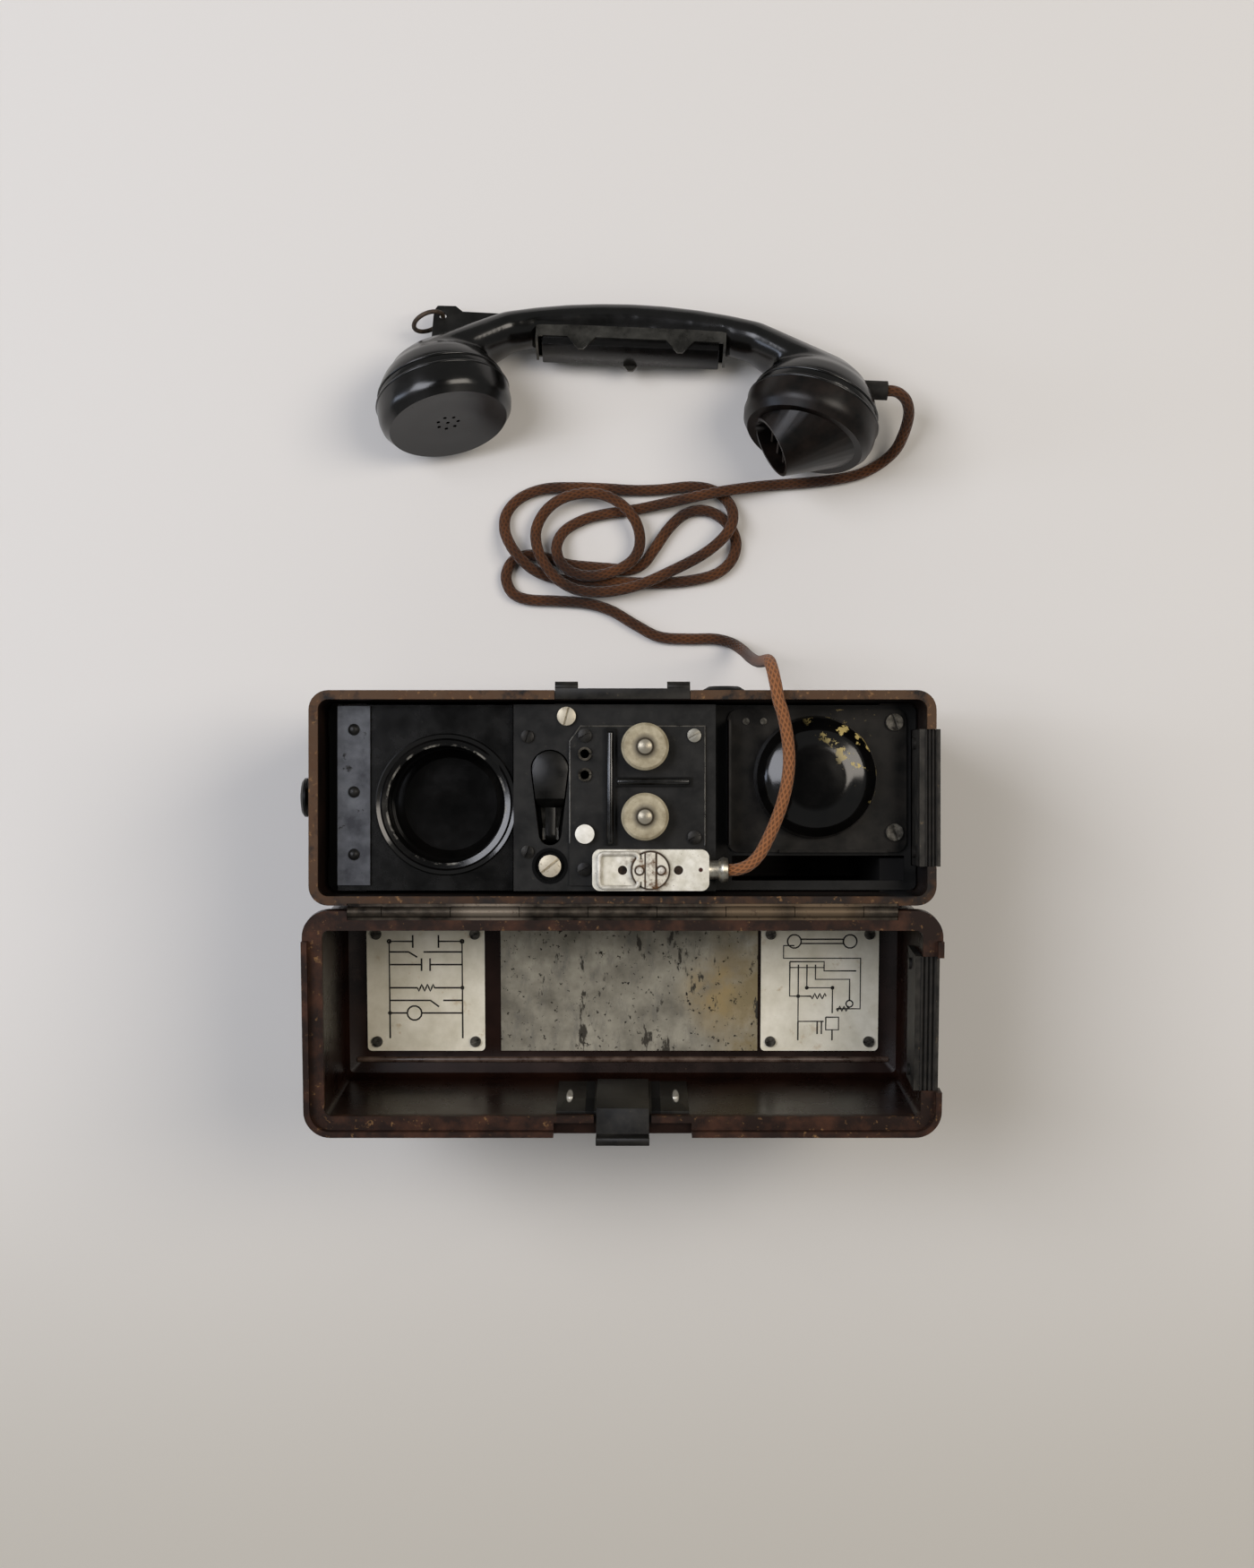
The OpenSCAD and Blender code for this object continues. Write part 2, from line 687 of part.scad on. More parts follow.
module plug_bail() color("#c9c4b6") {
  r = bail_wire / 2;
  x0 = plug_x0 + 3;
  bend = 2.2;
  side = 7.4 - bend;
  rod_y(x0, bail_z, r, plug_y - side, plug_y + side);
  for (k = [-1, 1]) {
    rod_x(plug_y + k * 7.4, bail_z, r, x0 + bend, bail_x - bend);
    rod_y(bail_x, bail_z, r, plug_y + min(k * 4, k * side), plug_y + max(k * 4, k * side));
    translate([x0 + bend, plug_y + k * side, bail_z])
      rotate(k > 0 ? 90 : 180)
        rotate_extrude(angle = 90)
          translate([bend, 0])
            circle(r);
    translate([bail_x - bend, plug_y + k * side, bail_z])
      rotate(k > 0 ? 0 : 270)
        rotate_extrude(angle = 90)
          translate([bend, 0])
            circle(r);
  }
}

module plug_pins() color("#b7954f")
  for (p = pin_at)
    rod_z(p, 2, panel_top - 9, plug_top - 0.8);

module plug_collar() color("#c8c6bf")
  translate([collar_x, plug_y, plug_z])
    rotate([0, 90, 0])
      rotate_extrude()
        polygon([[0, 0], [4.4, 0], [4.2, 1.4], [4.2, 4.2], [collar_d / 2 - 0.4, 5.2], [collar_d / 2, 6.2],
          [collar_d / 2 - 0.6, 8.2], [3.4, 8.6], [0, 8.6]]);

// Bell

module bell_plate() color("#35322d")
  difference() {
    union() {
      translate([(bell_x0 + bell_x1) / 2, (panel_hd - 1.6 - 24.5) / 2, deck_top])
        linear_extrude(2)
          rr(bell_x1 - bell_x0, panel_hd - 1.6 + 24.5, 5);
      box(bell_x0, bell_x0 + 1, -20.8, panel_hd - 6.6, deck_top + 1, case_h - 13);
      box(gong_x - 16, gong_x + 32, -24.5, -23.3, deck_top + 1, deck_top + 5);
      rod_z([gong_x, gong_y], 4, deck_top, bell_top + gong_h - 0.25);
    }
    box(gong_x - 4, gong_x + 4, gong_y - 25, gong_y - 15, deck_z - 1, bell_top + 1);
  }

module bell_screws() color("#9a978e") {
  for (y = [-15.5, panel_hd - 7.4])
    screw([bell_x1 - 5.5, y], 3.8, bell_top, 2.4, 1.2, 0, 110);
  for (x = [bell_x0 + 8.2, bell_x0 + 16])
    rod_z([x, panel_hd - 7], 1.5, bell_top, bell_top + 0.9);
}

module bell_gong() color("#20211f")
  translate([gong_x, gong_y, bell_top + 1.5])
    rotate_extrude()
      polygon([[0, gong_h - 1.6], [gong_d * 0.2, gong_h - 1.9], [gong_d * 0.36, gong_h - 4.4],
        [gong_d * 0.45, gong_h - 8], [gong_d / 2 - 1.6, 0], [gong_d / 2, 0], [gong_d * 0.48, gong_h - 7],
        [gong_d * 0.4, gong_h - 2.9], [gong_d * 0.26, gong_h - 0.6], [gong_d * 0.1, gong_h], [0, gong_h]]);

module bell_coils() color("#5b3a22") {
  for (y = [-4, 20])
    rod_z([gong_x + 21, y], 8, deck_z - 26, deck_z);
  box(gong_x + 15, gong_x + 27, -9, 25, deck_z - 29, deck_z - 26);
}

clap_y = gong_y - 20.5;
clap_z = deck_z - 6;

module bell_clapper() color("#8f8a7c") {
  rod_z([gong_x, clap_y], 1.2, clap_z - 10, bell_top + 6);
  translate([gong_x, clap_y, bell_top + 6.5])
    sphere(2.8);
  rod_x(clap_y, clap_z, 1.2, gong_x - 6.4, gong_x + 6.4);
  box(gong_x - 3, gong_x + 12, clap_y - 3, clap_y + 3, clap_z - 12, clap_z - 9);
}

module clapper_lugs() {
  for (x = [-1, 1])
    difference() {
      box(gong_x + x * 5.6 - 1, gong_x + x * 5.6 + 1, clap_y - 3, clap_y + 3, clap_z - 3, deck_z + 1);
      rod_x(clap_y, clap_z, 1.25, gong_x - 9, gong_x + 9);
    }
}

// Generator: a gear on the crank shaft turns the armature between three horseshoe magnets

function inv(a) = tan(a) - a * PI / 180;
function flank(r, z, m) = 90 / z + (inv(20) - inv(acos(min(1, m * z / 2 * cos(20) / r)))) * 180 / PI
  - 0.12 * 180 / PI / (m * z);
function tooth(z, m, a) = let (rp = m * z / 2, rs = [rp - 1.15 * m, max(rp - 1.1 * m, rp * cos(20)), rp - 0.3 * m,
  rp + 0.3 * m, rp + 0.9 * m])
  concat([for (r = rs) let (b = a - flank(max(r, rp * cos(20)), z, m)) [r * cos(b), r * sin(b)]],
    [for (i = [4 : -1 : 0]) let (b = a + flank(max(rs[i], rp * cos(20)), z, m)) [rs[i] * cos(b), rs[i] * sin(b)]]);

module gear(z, m, first) {
  polygon([for (i = [0 : z - 1]) each tooth(z, m, first + i * 360 / z)]);
}

module generator_frame() color("#8c7a45")
  difference() {
    union() {
      box(arm_x - 24, gen_x + 12, 18, 21, gen_z - 26, deck_z);
      box(arm_x - 24, arm_x + 24, -33, -30, gen_z - 26, deck_z);
      for (x = [-20, 20])
        rod_y(arm_x + x, gen_z - 21, 3, -31, 19);
    }
    rod_y(arm_x, gen_z, 3.05, -40, 30);
    rod_y(gen_x, gen_z, 4.05, 10, 30);
  }

module generator_magnets() color("#7a2f24")
  for (k = [0 : 2])
    difference() {
      box(arm_x - 22, arm_x + 22, -28 + 15 * k, -15 + 15 * k, gen_z - 14, gen_z + 32);
      box(arm_x - 15, arm_x + 15, -40, 30, gen_z - 15, gen_z + 24);
    }

module generator_poles() color("#5c5d5e")
  for (k = [-1, 1])
    difference() {
      translate([arm_x + k * 10, -6, gen_z])
        cube([10, 48, 24], center = true);
      rod_y(arm_x, gen_z, 10.4, -40, 30);
    }

module drive_shaft() color("#8a8a86")
  difference() {
    rod_y(gen_x, gen_z, 4, 14, seat_y + 5.5);
    box(gen_x - 2.6, gen_x + 2.6, seat_y - 6, seat_y + 8, gen_z - 2.6, gen_z + 2.6);
  }

module drive_gear() color("#b08f4a")
  translate([gen_x, gear_y + gear_face, gen_z])
    rotate([90, 0, 0])
      linear_extrude(gear_face)
        difference() {
          gear(gear_teeth, gear_module, 180);
          circle(4.02);
          for (a = [0 : 60 : 300])
            rotate(a)
              translate([gear_module * gear_teeth * 0.29, 0])
                circle(gear_module * gear_teeth * 0.1);
        }

module armature() color("#6b625a") {
  difference() {
    rod_y(arm_x, gen_z, 10, -28, 16);
    for (k = [-1, 1])
      translate([arm_x, -6, gen_z + k * 8])
        cube([9, 36, 8], center = true);
  }
  rod_y(arm_x, gen_z, 3, -35, gear_y + gear_face + 1);
  translate([arm_x, gear_y + gear_face, gen_z])
    rotate([90, 0, 0])
      linear_extrude(gear_face)
        gear(pinion_teeth, gear_module, 180 / pinion_teeth);
}

module dry_cell() color("#8a7a5a") {
  box(cell_x - cell_w / 2, cell_x + cell_w / 2, -cell_d / 2, cell_d / 2, case_floor, case_floor + cell_h);
  for (x = [-14, 14])
    rod_z([cell_x + x, 10], 4, case_floor + cell_h - 1, case_floor + cell_h + 8);
}

// Lid, drawn shut and laid open on its hinge

module lid_outer() {
  hull() {
    slab(case_w, case_d, case_corner, case_h + 2);
    slab(2 * lout_x(lid_top - lid_edge), 2 * lout_y(lid_top - lid_edge), case_corner, lid_top - lid_edge);
    slab(2 * lout_x(lid_top) - 0.6 * lid_edge, 2 * lout_y(lid_top) - 0.6 * lid_edge, case_corner - 1.4,
      lid_top - 0.32 * lid_edge);
    slab(2 * lout_x(lid_top) - 1.9 * lid_edge, 2 * lout_y(lid_top) - 1.9 * lid_edge, 3.2, lid_top - 0.3, 0.3);
  }
}

module lid_cavity() {
  hull() {
    slab(2 * lin_x(case_h - 6), 2 * lin_y(case_h - 6), 3, case_h - 6);
    slab(2 * lin_x(lid_in - 6), 2 * lin_y(lid_in - 6), 3, lid_in - 6);
    slab(2 * lin_x(lid_in) - 3.6, 2 * lin_y(lid_in) - 3.6, 2.4, lid_in - 1.8);
    slab(2 * lin_x(lid_in) - 12, 2 * lin_y(lid_in) - 12, 1.5, lid_in - 0.1);
  }
}

lid_port_x = lin_x(case_h + port_h + 5);
lid_plate_y = -2.4;
lid_plate_h = min(60, 2 * (lin_y(lid_in) - 6.4));
lid_plate_x = lin_x(lid_in) - 37.7;

module lid_shell() color("#4a2c1e")
  on_lid()
    difference() {
      union() {
        lid_outer();
        translate([0, 0, case_h - lip_drop])
          linear_extrude(lip_drop + 6.3)
            rr(case_w + 1.2 + 2 * lip_t, case_d + 1.2 + 2 * lip_t, case_corner + 0.6 + lip_t);
      }
      translate([0, 0, case_h - lip_drop - 1])
        linear_extrude(lip_drop + 1 + lid_gap)
          rr(case_w + 1.2, case_d + 1.2, case_corner + 0.6);
      lid_cavity();
      box(-hinge_len / 2 - 0.3, hinge_len / 2 + 0.3, -hd - 10, leaf_y, case_h - 10, case_h + leaf_h + 0.2);
      box(-hw - 10, hw + 10, -hd - 10, -hd + 10, case_h - lip_drop - 1, case_h + lid_gap);
      box(-latch_w / 2 - 1, latch_w / 2 + 1, hd - 2.5, hd + 10, case_h - 10, case_h + 4.3);
      box(-tongue_w / 2 - 1, tongue_w / 2 + 1, 0, hd + 10, case_h - 10, case_h + 4.3);
      box(lid_port_x - 12, hw + 10, -port_len / 2, port_len / 2, case_h - 10, case_h + port_h);
      for (p = lid_screw_at)
        rod_z(p, 1.32, lid_in - 1, lid_in + 2);
    }

lid_screw_at = [for (k = [-1, 1]) for (x = [-1, 1]) for (y = [-1, 1])
  [k * lid_plate_x + x * 23, lid_plate_y + y * (lid_plate_h / 2 - 4.5)]];

module hinge_leaf_lid() color("#8b8372")
  on_lid()
    translate([0, 0, hinge_z])
      mirror([0, 0, 1])
        translate([0, 0, -hinge_z]) {
          leaf();
          knuckles(0);
        }

module lid_plates() color("#d8cfb2")
  on_lid()
    difference() {
      for (k = [-1, 1])
        translate([k * lid_plate_x, lid_plate_y, lid_in - 1])
          linear_extrude(1)
            rr(55, lid_plate_h, 2);
      for (p = lid_screw_at)
        rod_z(p, 1.32, lid_in - 3, lid_in + 2);
    }

module lid_plate_screws() color("#b9b096")
  on_lid()
    for (p = lid_screw_at)
      translate([p[0], p[1], lid_in - 1])
        rotate([180, 0, 0])
          screw([0, 0], 2.5, 0, 1.2, 1.3, 2.6, 20);

module note_sheet() color("#9c9a92")
  on_lid()
    box(-lid_plate_x + 35, lid_plate_x - 29, lid_plate_y - lid_plate_h / 2, lid_plate_y + lid_plate_h / 2, lid_in - 0.8, lid_in);

module yz(x0, x1) {
  translate([x0, 0, 0])
    rotate([90, 0, 90])
      linear_extrude(x1 - x0)
        children();
}

lp0 = case_h + 4.5;
lp1 = case_h + min(54, lid_h - 14);

module latch_plate() color("#57514a")
  on_lid() {
    yz(-latch_w / 2, latch_w / 2)
      polygon([[lin_y(lp0), lp0], [lin_y(lp1), lp1], [lin_y(lp1) - 1.2, lp1], [lin_y(lp0) - 1.2, lp0]]);
    for (x = [-1, 1])
      rod_y(x * (latch_w / 2 - 6), case_h + 26, 1.7, lin_y(case_h + 26) - 1.9, lin_y(case_h + 26) - 0.6);
  }

tongue_z = lp1 - 6;
ty = lin_y(tongue_z);

module latch_tongue() color("#4f4a44")
  on_lid()
    yz(-tongue_w / 2, tongue_w / 2)
      polygon([[ty - 1.5, tongue_z + 3], [lin_y(lp0) - 1.5, case_h + 3.4], [hd + 4.4, case_h + 3.4],
        [hd + 4.4, case_h - 12], [hd + 1.1, case_h - 12], [hd + 1.1, case_h - 10.4], [hd + 2.8, case_h - 8.6],
        [hd + 2.8, case_h + 1.6], [lin_y(lp0) - 3.2, case_h + 1.6], [ty - 3.2, tongue_z + 3]]);

module lid_rim_side() {
  translate([0, 0, case_h])
    mirror([0, 0, 1])
      translate([0, 0, -case_h])
        children();
}

module port_rubber_lid() color("#35332f")
  on_lid()
    lid_rim_side()
      port_rubber(lid_port_x);

module port_clamp_lid() color("#4d4b46")
  on_lid()
    lid_rim_side()
      port_clamp(lid_port_x);

// Handset

module at_cap(side) {
  translate([side * cap_span / 2, 0, 0])
    rotate([0, 0, -side * cap_lean])
      rotate([90, 0, 0])
        children();
}

module arch(a0, a1) {
  translate([0, handle_arch - arch_r, 0])
    rotate([0, 0, a0])
      rotate_extrude(angle = a1 - a0, $fn = 96)
        translate([arch_r, 0])
          polygon([for (a = [0 : 18 : 342]) [handle_t / 2 * cos(a), handle_w / 2 * sin(a)]]);
}

cup_back = 20;
cap_in = cup_r - 5;
gland_y = 14.8;
gland_x = cap_span / 2 + 35.8;

module neck(side) {
  hull() {
    if (side > 0)
      arch(76.6, 77);
    else
      arch(103, 103.4);
    at_cap(side) {
      translate([side * 2, 0, -cup_back])
        cylinder(r = cup_r * 0.66, h = 6, $fn = 32);
      translate([0, 0, -cup_back - 7])
        cylinder(r = cup_r * 0.42, h = 1, $fn = 32);
    }
  }
}

module hanger_outline() {
  difference() {
    polygon([[-97.6, 24], [-97.6, 49], [-96, 52], [-87, 52.2], [-83.4, 49.2], [-61, 49], [-61, 34]]);
    translate([-93, 46.4])
      circle(1.8);
  }
}

module handset_handle() color("#1e1c1b")
  on_set()
    difference() {
      union() {
        arch(76.6, 103.4);
        neck(-1);
        neck(1);
        for (k = [-1, 1])
          at_cap(k)
            rotate_extrude()
              polygon([[0, -cup_back], [cup_r * 0.66, -cup_back], [cup_r * 0.86, -14], [cup_r * 0.97, -8], [cup_r, -3],
                [cup_r, 0], [0, 0]]);
        box(-47, 47, bar_y + 8, handle_arch, -8.5, 8.5);
      }
      for (k = [-1, 1])
        at_cap(k)
          translate([0, 0, -11])
            cylinder(r = cup_r - 6, h = 20);
      // Channel for the talk bar and its frame
      box(-46.2, 46.2, 0, bar_y + 8, -30, 30);
      for (k = [-1, 1])
        translate([0, 0, k * 18.5])
          cube([94.4, 2 * (bar_y + 10.5), 20], center = true);
      translate([0, 0, -1])
        linear_extrude(2)
          hanger_outline();
      rod_x(gland_y, 0, 4.6, gland_x - 14, gland_x + 9);
    }

module receiver_capsules() color("#8d8f8f")
  on_set()
    for (k = [-1, 1])
      at_cap(k)
        translate([0, 0, -11])
          cylinder(r = cup_r - 7, h = cap_h + 4);

module cap_shell() {
  rotate_extrude()
    polygon([[0, cap_h - 4], [cap_in - 4, cap_h - 4], [cap_in, cap_h - 6.5], [cap_in, 0], [cap_d / 2, 0],
      [cap_d / 2, 7.5], [cap_d / 2 - 0.9, 11], [cap_d / 2 - 3.8, cap_h], [cap_d * 0.3, cap_h - 0.6],
      [0, cap_h - 1.2]]);
}

module ear_cap() color("#1b1a19")
  on_set()
    at_cap(-1)
      difference() {
        cap_shell();
        cylinder(r = 0.9, h = 40);
        for (a = [0 : 360 / 7 : 359])
          rotate(a)
            translate([5, 0])
              cylinder(r = 0.9, h = 40);
      }

module horn(base, mouth, y0, reach) {
  hull() {
    translate([1, 0, y0])
      cylinder(r = base, h = 1, $fn = 32);
    translate([-14.1, 0, cap_h + 8.8])
      rotate([0, -43.6, 0])
        translate([0, 0, reach - 1])
          cylinder(r = mouth, h = 1, $fn = 32);
  }
}

module mouth_cap() color("#25201d")
  on_set()
    at_cap(1)
      difference() {
        union() {
          cap_shell();
          horn(25, horn_d / 2, cap_h - 2, 0);
        }
        horn(17, horn_d / 2 - 1.6, cap_h - 5, 1.2);
        cylinder(r = 17, h = cap_h - 3);
      }

tooth_pts = [[-7, bar_y + 4.2], [7, bar_y + 4.2], [1.2, bar_y - 2.6], [-1.2, bar_y - 2.6]];

module talk_frame() color("#8b8c88")
  on_set() {
    for (k = [-1, 1]) {
      translate([0, 0, k * 9.1 - 0.6])
        linear_extrude(1.2) {
          translate([-46.2, bar_y + 4])
            square([92.4, 6.5]);
          for (x = (k > 0) ? [-24, 24] : [0])
            translate([x, 0])
              polygon(tooth_pts);
        }
      box(k * 45.6 - 0.6, k * 45.6 + 0.6, bar_y + 2, bar_y + 8, -9.6, 9.6);
    }
  }

module talk_bar() color("#2a2927")
  on_set()
    box(-43, 43, bar_y, bar_y + 5, -8.44, 8.44);

module hanger_plate() color("#242322")
  on_set()
    translate([0, 0, -1])
      linear_extrude(2)
        hanger_outline();

module hanger_ring() color("#6e5a48")
  on_set()
    translate([-93, 46.4, 0])
      rotate([0, 0, 205])
        translate([7.6, 0, 0])
          rotate([90, 0, 0])
            rotate_extrude()
              translate([7.6, 0])
                circle(1.1, $fn = 20);

module handset_gland() color("#171615")
  on_set()
    rod_x(gland_y, 0, 4.6, gland_x - 14, gland_x);

// Cord, from the plug over the front wall and across the floor to the handset

function set_dir(p) = let (q = [p[0] * cos(turn) - p[1] * sin(turn), p[0] * sin(turn) + p[1] * cos(turn), p[2]])
  [q[0], q[1] * cos(roll) + q[2] * sin(roll), -q[1] * sin(roll) + q[2] * cos(roll)];
exit = [2.2, set_y, set_z] + set_dir([gland_x, gland_y, 0]);
way = set_dir([1, 0, 0]);
cr = cord_d / 2;
ch = case_h;
fl = cr + 0.2;
mid = 2 * cr + 0.4;
up = 3 * cr + 0.8;
fy = hd - 47;
floor_run = [[33, 78, fl], [18, 79, fl], [6, 85, fl], [-6, 92, fl], [-18, 95.6, fl], [-33, 96.8, fl],
  [-47, 97.5, fl], [-54.8, 100.7, fl], [-58, 108.5, fl], [-54.8, 116.3, fl], [-47, 119.5, fl], [-38, 118, fl],
  [-27, 114.8, fl], [-16, 113.6, fl], [-6, 112.8, fl], [3, 112.2, fl], [10, 115.2, fl], [15.5, 122.4, fl],
  [22.5, 132.5, fl], [30, 139.4, fl], [38.5, 141.8, fl], [46.5, 139.4, fl], [53, 133.4, fl], [56, 125.5, fl],
  [53.8, 117, fl], [46.5, 110.4, fl], [34, 107, fl], [18, 105.6, fl], [2, 106, fl], [-14, 106.6, fl],
  [-28, 107, fl], [-37.5, 109, fl + 0.4], [-45, 112.4, mid + 0.6], [-50.8, 117.4, up + 0.4], [-55.6, 124, up - 0.8],
  [-58.6, 132, mid - 1], [-57.5, 140.5, fl], [-50.5, 148, fl], [-38.5, 152.4, fl], [-23, 153, fl], [-8, 152.4, fl],
  [6, 151.6, fl], [19, 152, fl], [33, 153.4, fl], [43.5, 152, fl], [50.8, 147.2, fl + 0.4], [54.2, 140, mid + 1.8],
  [53, 132.6, up + 0.6], [47.5, 125.5, up], [38, 118.6, mid + 0.6], [24.5, 111.4, up], [9, 104.6, up], [-7, 101, up],
  [-21, 101.4, up], [-31, 106, up], [-37.6, 113, up], [-42, 121.5, up], [-43, 131.5, mid], [-38.6, 140.6, mid],
  [-30.5, 146.6, up], [-20, 149.4, up], [-10.5, 148.8, up], [-2, 144.8, up], [4.6, 138.2, up], [8, 130.4, mid + 2],
  [7.8, 122, mid + 2], [3.4, 115.2, up], [-5.5, 110.6, up], [-15.5, 108.6, up], [-24.6, 110.2, up],
  [-31, 115.6, up], [-32.8, 123.6, mid + 1.6], [-28.8, 131.6, fl + 0.4], [-19, 137.2, fl], [-8, 140, fl],
  [6, 142, fl], [20, 144.6, mid], [33, 147.2, up - 0.6], [46, 149.8, up + 0.6], [62, 152.6, mid], [77, 154.4, fl],
  [91, 155.4, fl], [105, 157, fl], [117, 159.6, fl], [126.6, 164.2, fl + 1.2]];
route = concat(
  [[collar_x + 8.6, plug_y, plug_z], [collar_x + 12, plug_y + 0.1, plug_z], [55, -29.6, plug_z + 0.2],
    [59.6, -25.2, ch - 3.2], [63.4, -18.4, ch - 2.6], [66.9, -10.4, ch - 1.8], [69.8, -2, ch - 1],
    [71.8, 7, ch - 0.1], [72.6, 16.5, ch + 0.8], [71.7, 27, ch + 2], [69.6, 37, ch + cr + 0.8],
    [67.9, hd - 5, ch + cr + 1.5], [66.8, hd + 1, ch + cr + 1.3], [65.8, hd + 7, ch + 0.6],
    [65, hd + 11.4, ch - 4.6], [64.4, hd + 13.6, ch - 12], [64, hd + 14.4, ch * 0.79], [63.6, hd + 15.4, ch * 0.6],
    [63, hd + 17.2, ch * 0.4], [61.4, hd + 20.6, ch * 0.21], [58.6, hd + 24.8, ch * 0.1],
    [53.4, hd + 28.8, fl + 2.4], [45, hd + 31, fl]],
  [for (p = floor_run) [p[0], p[1] + fy, p[2]]],
  [exit + [6, -26, -20], exit + [9.8, -18, -13.5], exit + [11.2, -10.2, -7], exit + [9.6, -4.6, -2.6],
    exit + [6.2, -1.4, -0.4], exit + 3 * way, exit]);

// Points between two route points, on a smooth curve through four of them
function between(a, b, c, d, t) = 0.5 * (2 * b + (c - a) * t + (2 * a - 5 * b + 4 * c - d) * t * t
  + (3 * b - a - 3 * c + d) * t * t * t);
last = len(route) - 1;
steps = 2;
path = concat([for (i = [0 : last - 1]) for (k = [0 : steps - 1])
  between(route[max(i - 1, 0)], route[i], route[i + 1], route[min(i + 2, last)], k / steps)], [route[last]]);
count = len(path);
function unit(v) = v / norm(v);
function near(p, a, b) = let (t = max(0, min(1, (p - a) * (b - a) / ((b - a) * (b - a))))) norm(p - a - t * (b - a));
least_gap = min([for (i = [0 : count - 7]) for (j = [i + 5 : count - 2]) near(path[i], path[j], path[j + 1])]) - cord_d;
cord_length = [for (i = 0, l = 0; i < count; l = l + norm(path[min(i + 1, count - 1)] - path[i]), i = i + 1) l][count - 1];
echo(cord_least_gap = least_gap, cord_length = cord_length);
along = [for (i = [0 : count - 1]) unit(path[min(i + 1, count - 1)] - path[max(i - 1, 0)])];
across = [for (i = 0, n = unit(cross(along[0], [0, 0, 1])); i < count;
  i = i + 1, n = unit(n - (n * along[min(i, count - 1)]) * along[min(i, count - 1)])) n];
sides = 8;

module handset_cord() color("#6b4426") {
  rings = [for (i = [0 : count - 1]) let (n = unit(across[i] - (across[i] * along[i]) * along[i]), b = cross(along[i], n))
    for (j = [0 : sides - 1]) path[i] + cr * (cos(360 * j / sides) * n + sin(360 * j / sides) * b)];
  walls = [for (i = [0 : count - 2]) for (j = [0 : sides - 1]) let (a = i * sides + j, b = i * sides + (j + 1) % sides)
    each [[a, a + sides, b + sides], [a, b + sides, b]]];
  ends = [[for (j = [0 : sides - 1]) j], [for (j = [sides - 1 : -1 : 0]) (count - 1) * sides + j]];
  polyhedron(rings, concat(walls, ends));
}

case_body();
chassis_deck();
hinge_leaf_case();
hinge_pin();
latch_keeper();
port_rubber_case();
port_clamp_case();
strap_studs();
side_plate();
crank_bush();
receiver_plate();
receiver_bowl();
edge_strip();
strip_rivets();
panel_block();
terminal_plate();
panel_screws();
terminal_posts();
terminal_knob_a();
terminal_knob_b();
jack_sockets();
test_button();
crank_arm();
crank_grip();
plug_body();
plug_hub();
plug_bail();
plug_pins();
plug_collar();
bell_plate();
bell_screws();
bell_gong();
bell_coils();
bell_clapper();
generator_frame();
generator_magnets();
generator_poles();
drive_shaft();
drive_gear();
armature();
dry_cell();
lid_shell();
hinge_leaf_lid();
lid_plates();
lid_plate_screws();
note_sheet();
latch_plate();
latch_tongue();
port_rubber_lid();
port_clamp_lid();
handset_handle();
receiver_capsules();
ear_cap();
mouth_cap();
talk_frame();
talk_bar();
hanger_plate();
hanger_ring();
handset_gland();
handset_cord();
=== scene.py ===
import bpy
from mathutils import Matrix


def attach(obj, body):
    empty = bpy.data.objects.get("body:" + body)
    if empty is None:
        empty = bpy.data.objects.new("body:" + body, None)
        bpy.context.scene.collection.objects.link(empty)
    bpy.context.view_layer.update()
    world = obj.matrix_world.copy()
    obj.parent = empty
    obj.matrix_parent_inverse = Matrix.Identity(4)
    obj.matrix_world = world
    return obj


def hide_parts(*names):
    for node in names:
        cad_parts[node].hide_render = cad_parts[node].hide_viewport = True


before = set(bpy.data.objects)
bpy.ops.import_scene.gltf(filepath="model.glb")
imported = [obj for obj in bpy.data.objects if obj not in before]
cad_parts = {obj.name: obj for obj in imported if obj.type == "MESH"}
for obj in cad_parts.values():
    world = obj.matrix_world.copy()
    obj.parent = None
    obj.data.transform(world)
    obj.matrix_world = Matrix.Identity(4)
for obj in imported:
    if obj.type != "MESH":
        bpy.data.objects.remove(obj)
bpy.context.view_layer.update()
import bpy
import bmesh
import math
from mathutils import Matrix, Vector

# Studio
# A pale floor under a dim tent that is open and dark above the camera, with a cool bank of light high
# on the left, a weaker one on the right, a low window and the camera looking straight down.


def linear(hexed, alpha=1.0):
    parts = [int(hexed[i:i + 2], 16) / 255 for i in (1, 3, 5)]
    return [c / 12.92 if c <= 0.04045 else ((c + 0.055) / 1.055) ** 2.4 for c in parts] + [alpha]


def add(mat, kind, inputs=None, **settings):
    node = mat.node_tree.nodes.new("ShaderNode" + kind)
    for key, value in settings.items():
        setattr(node, key, value)
    for key, value in (inputs or {}).items():
        if isinstance(value, bpy.types.NodeSocket):
            mat.node_tree.links.new(value, node.inputs[key])
        else:
            node.inputs[key].default_value = value
    return node


def link(mat, source, target):
    mat.node_tree.links.new(source, target)


bpy.ops.object.select_all(action="DESELECT")
scene = bpy.context.scene
scene.view_settings.view_transform = "Standard"
eye = bpy.data.objects.new("eye", bpy.data.cameras.new("eye"))
scene.collection.objects.link(eye)
eye.location = (0.00195, 0.00605, 1.14)
eye.data.lens = 52.66
eye.data.sensor_width = 36
eye.data.clip_start = 0.01
scene.camera = eye

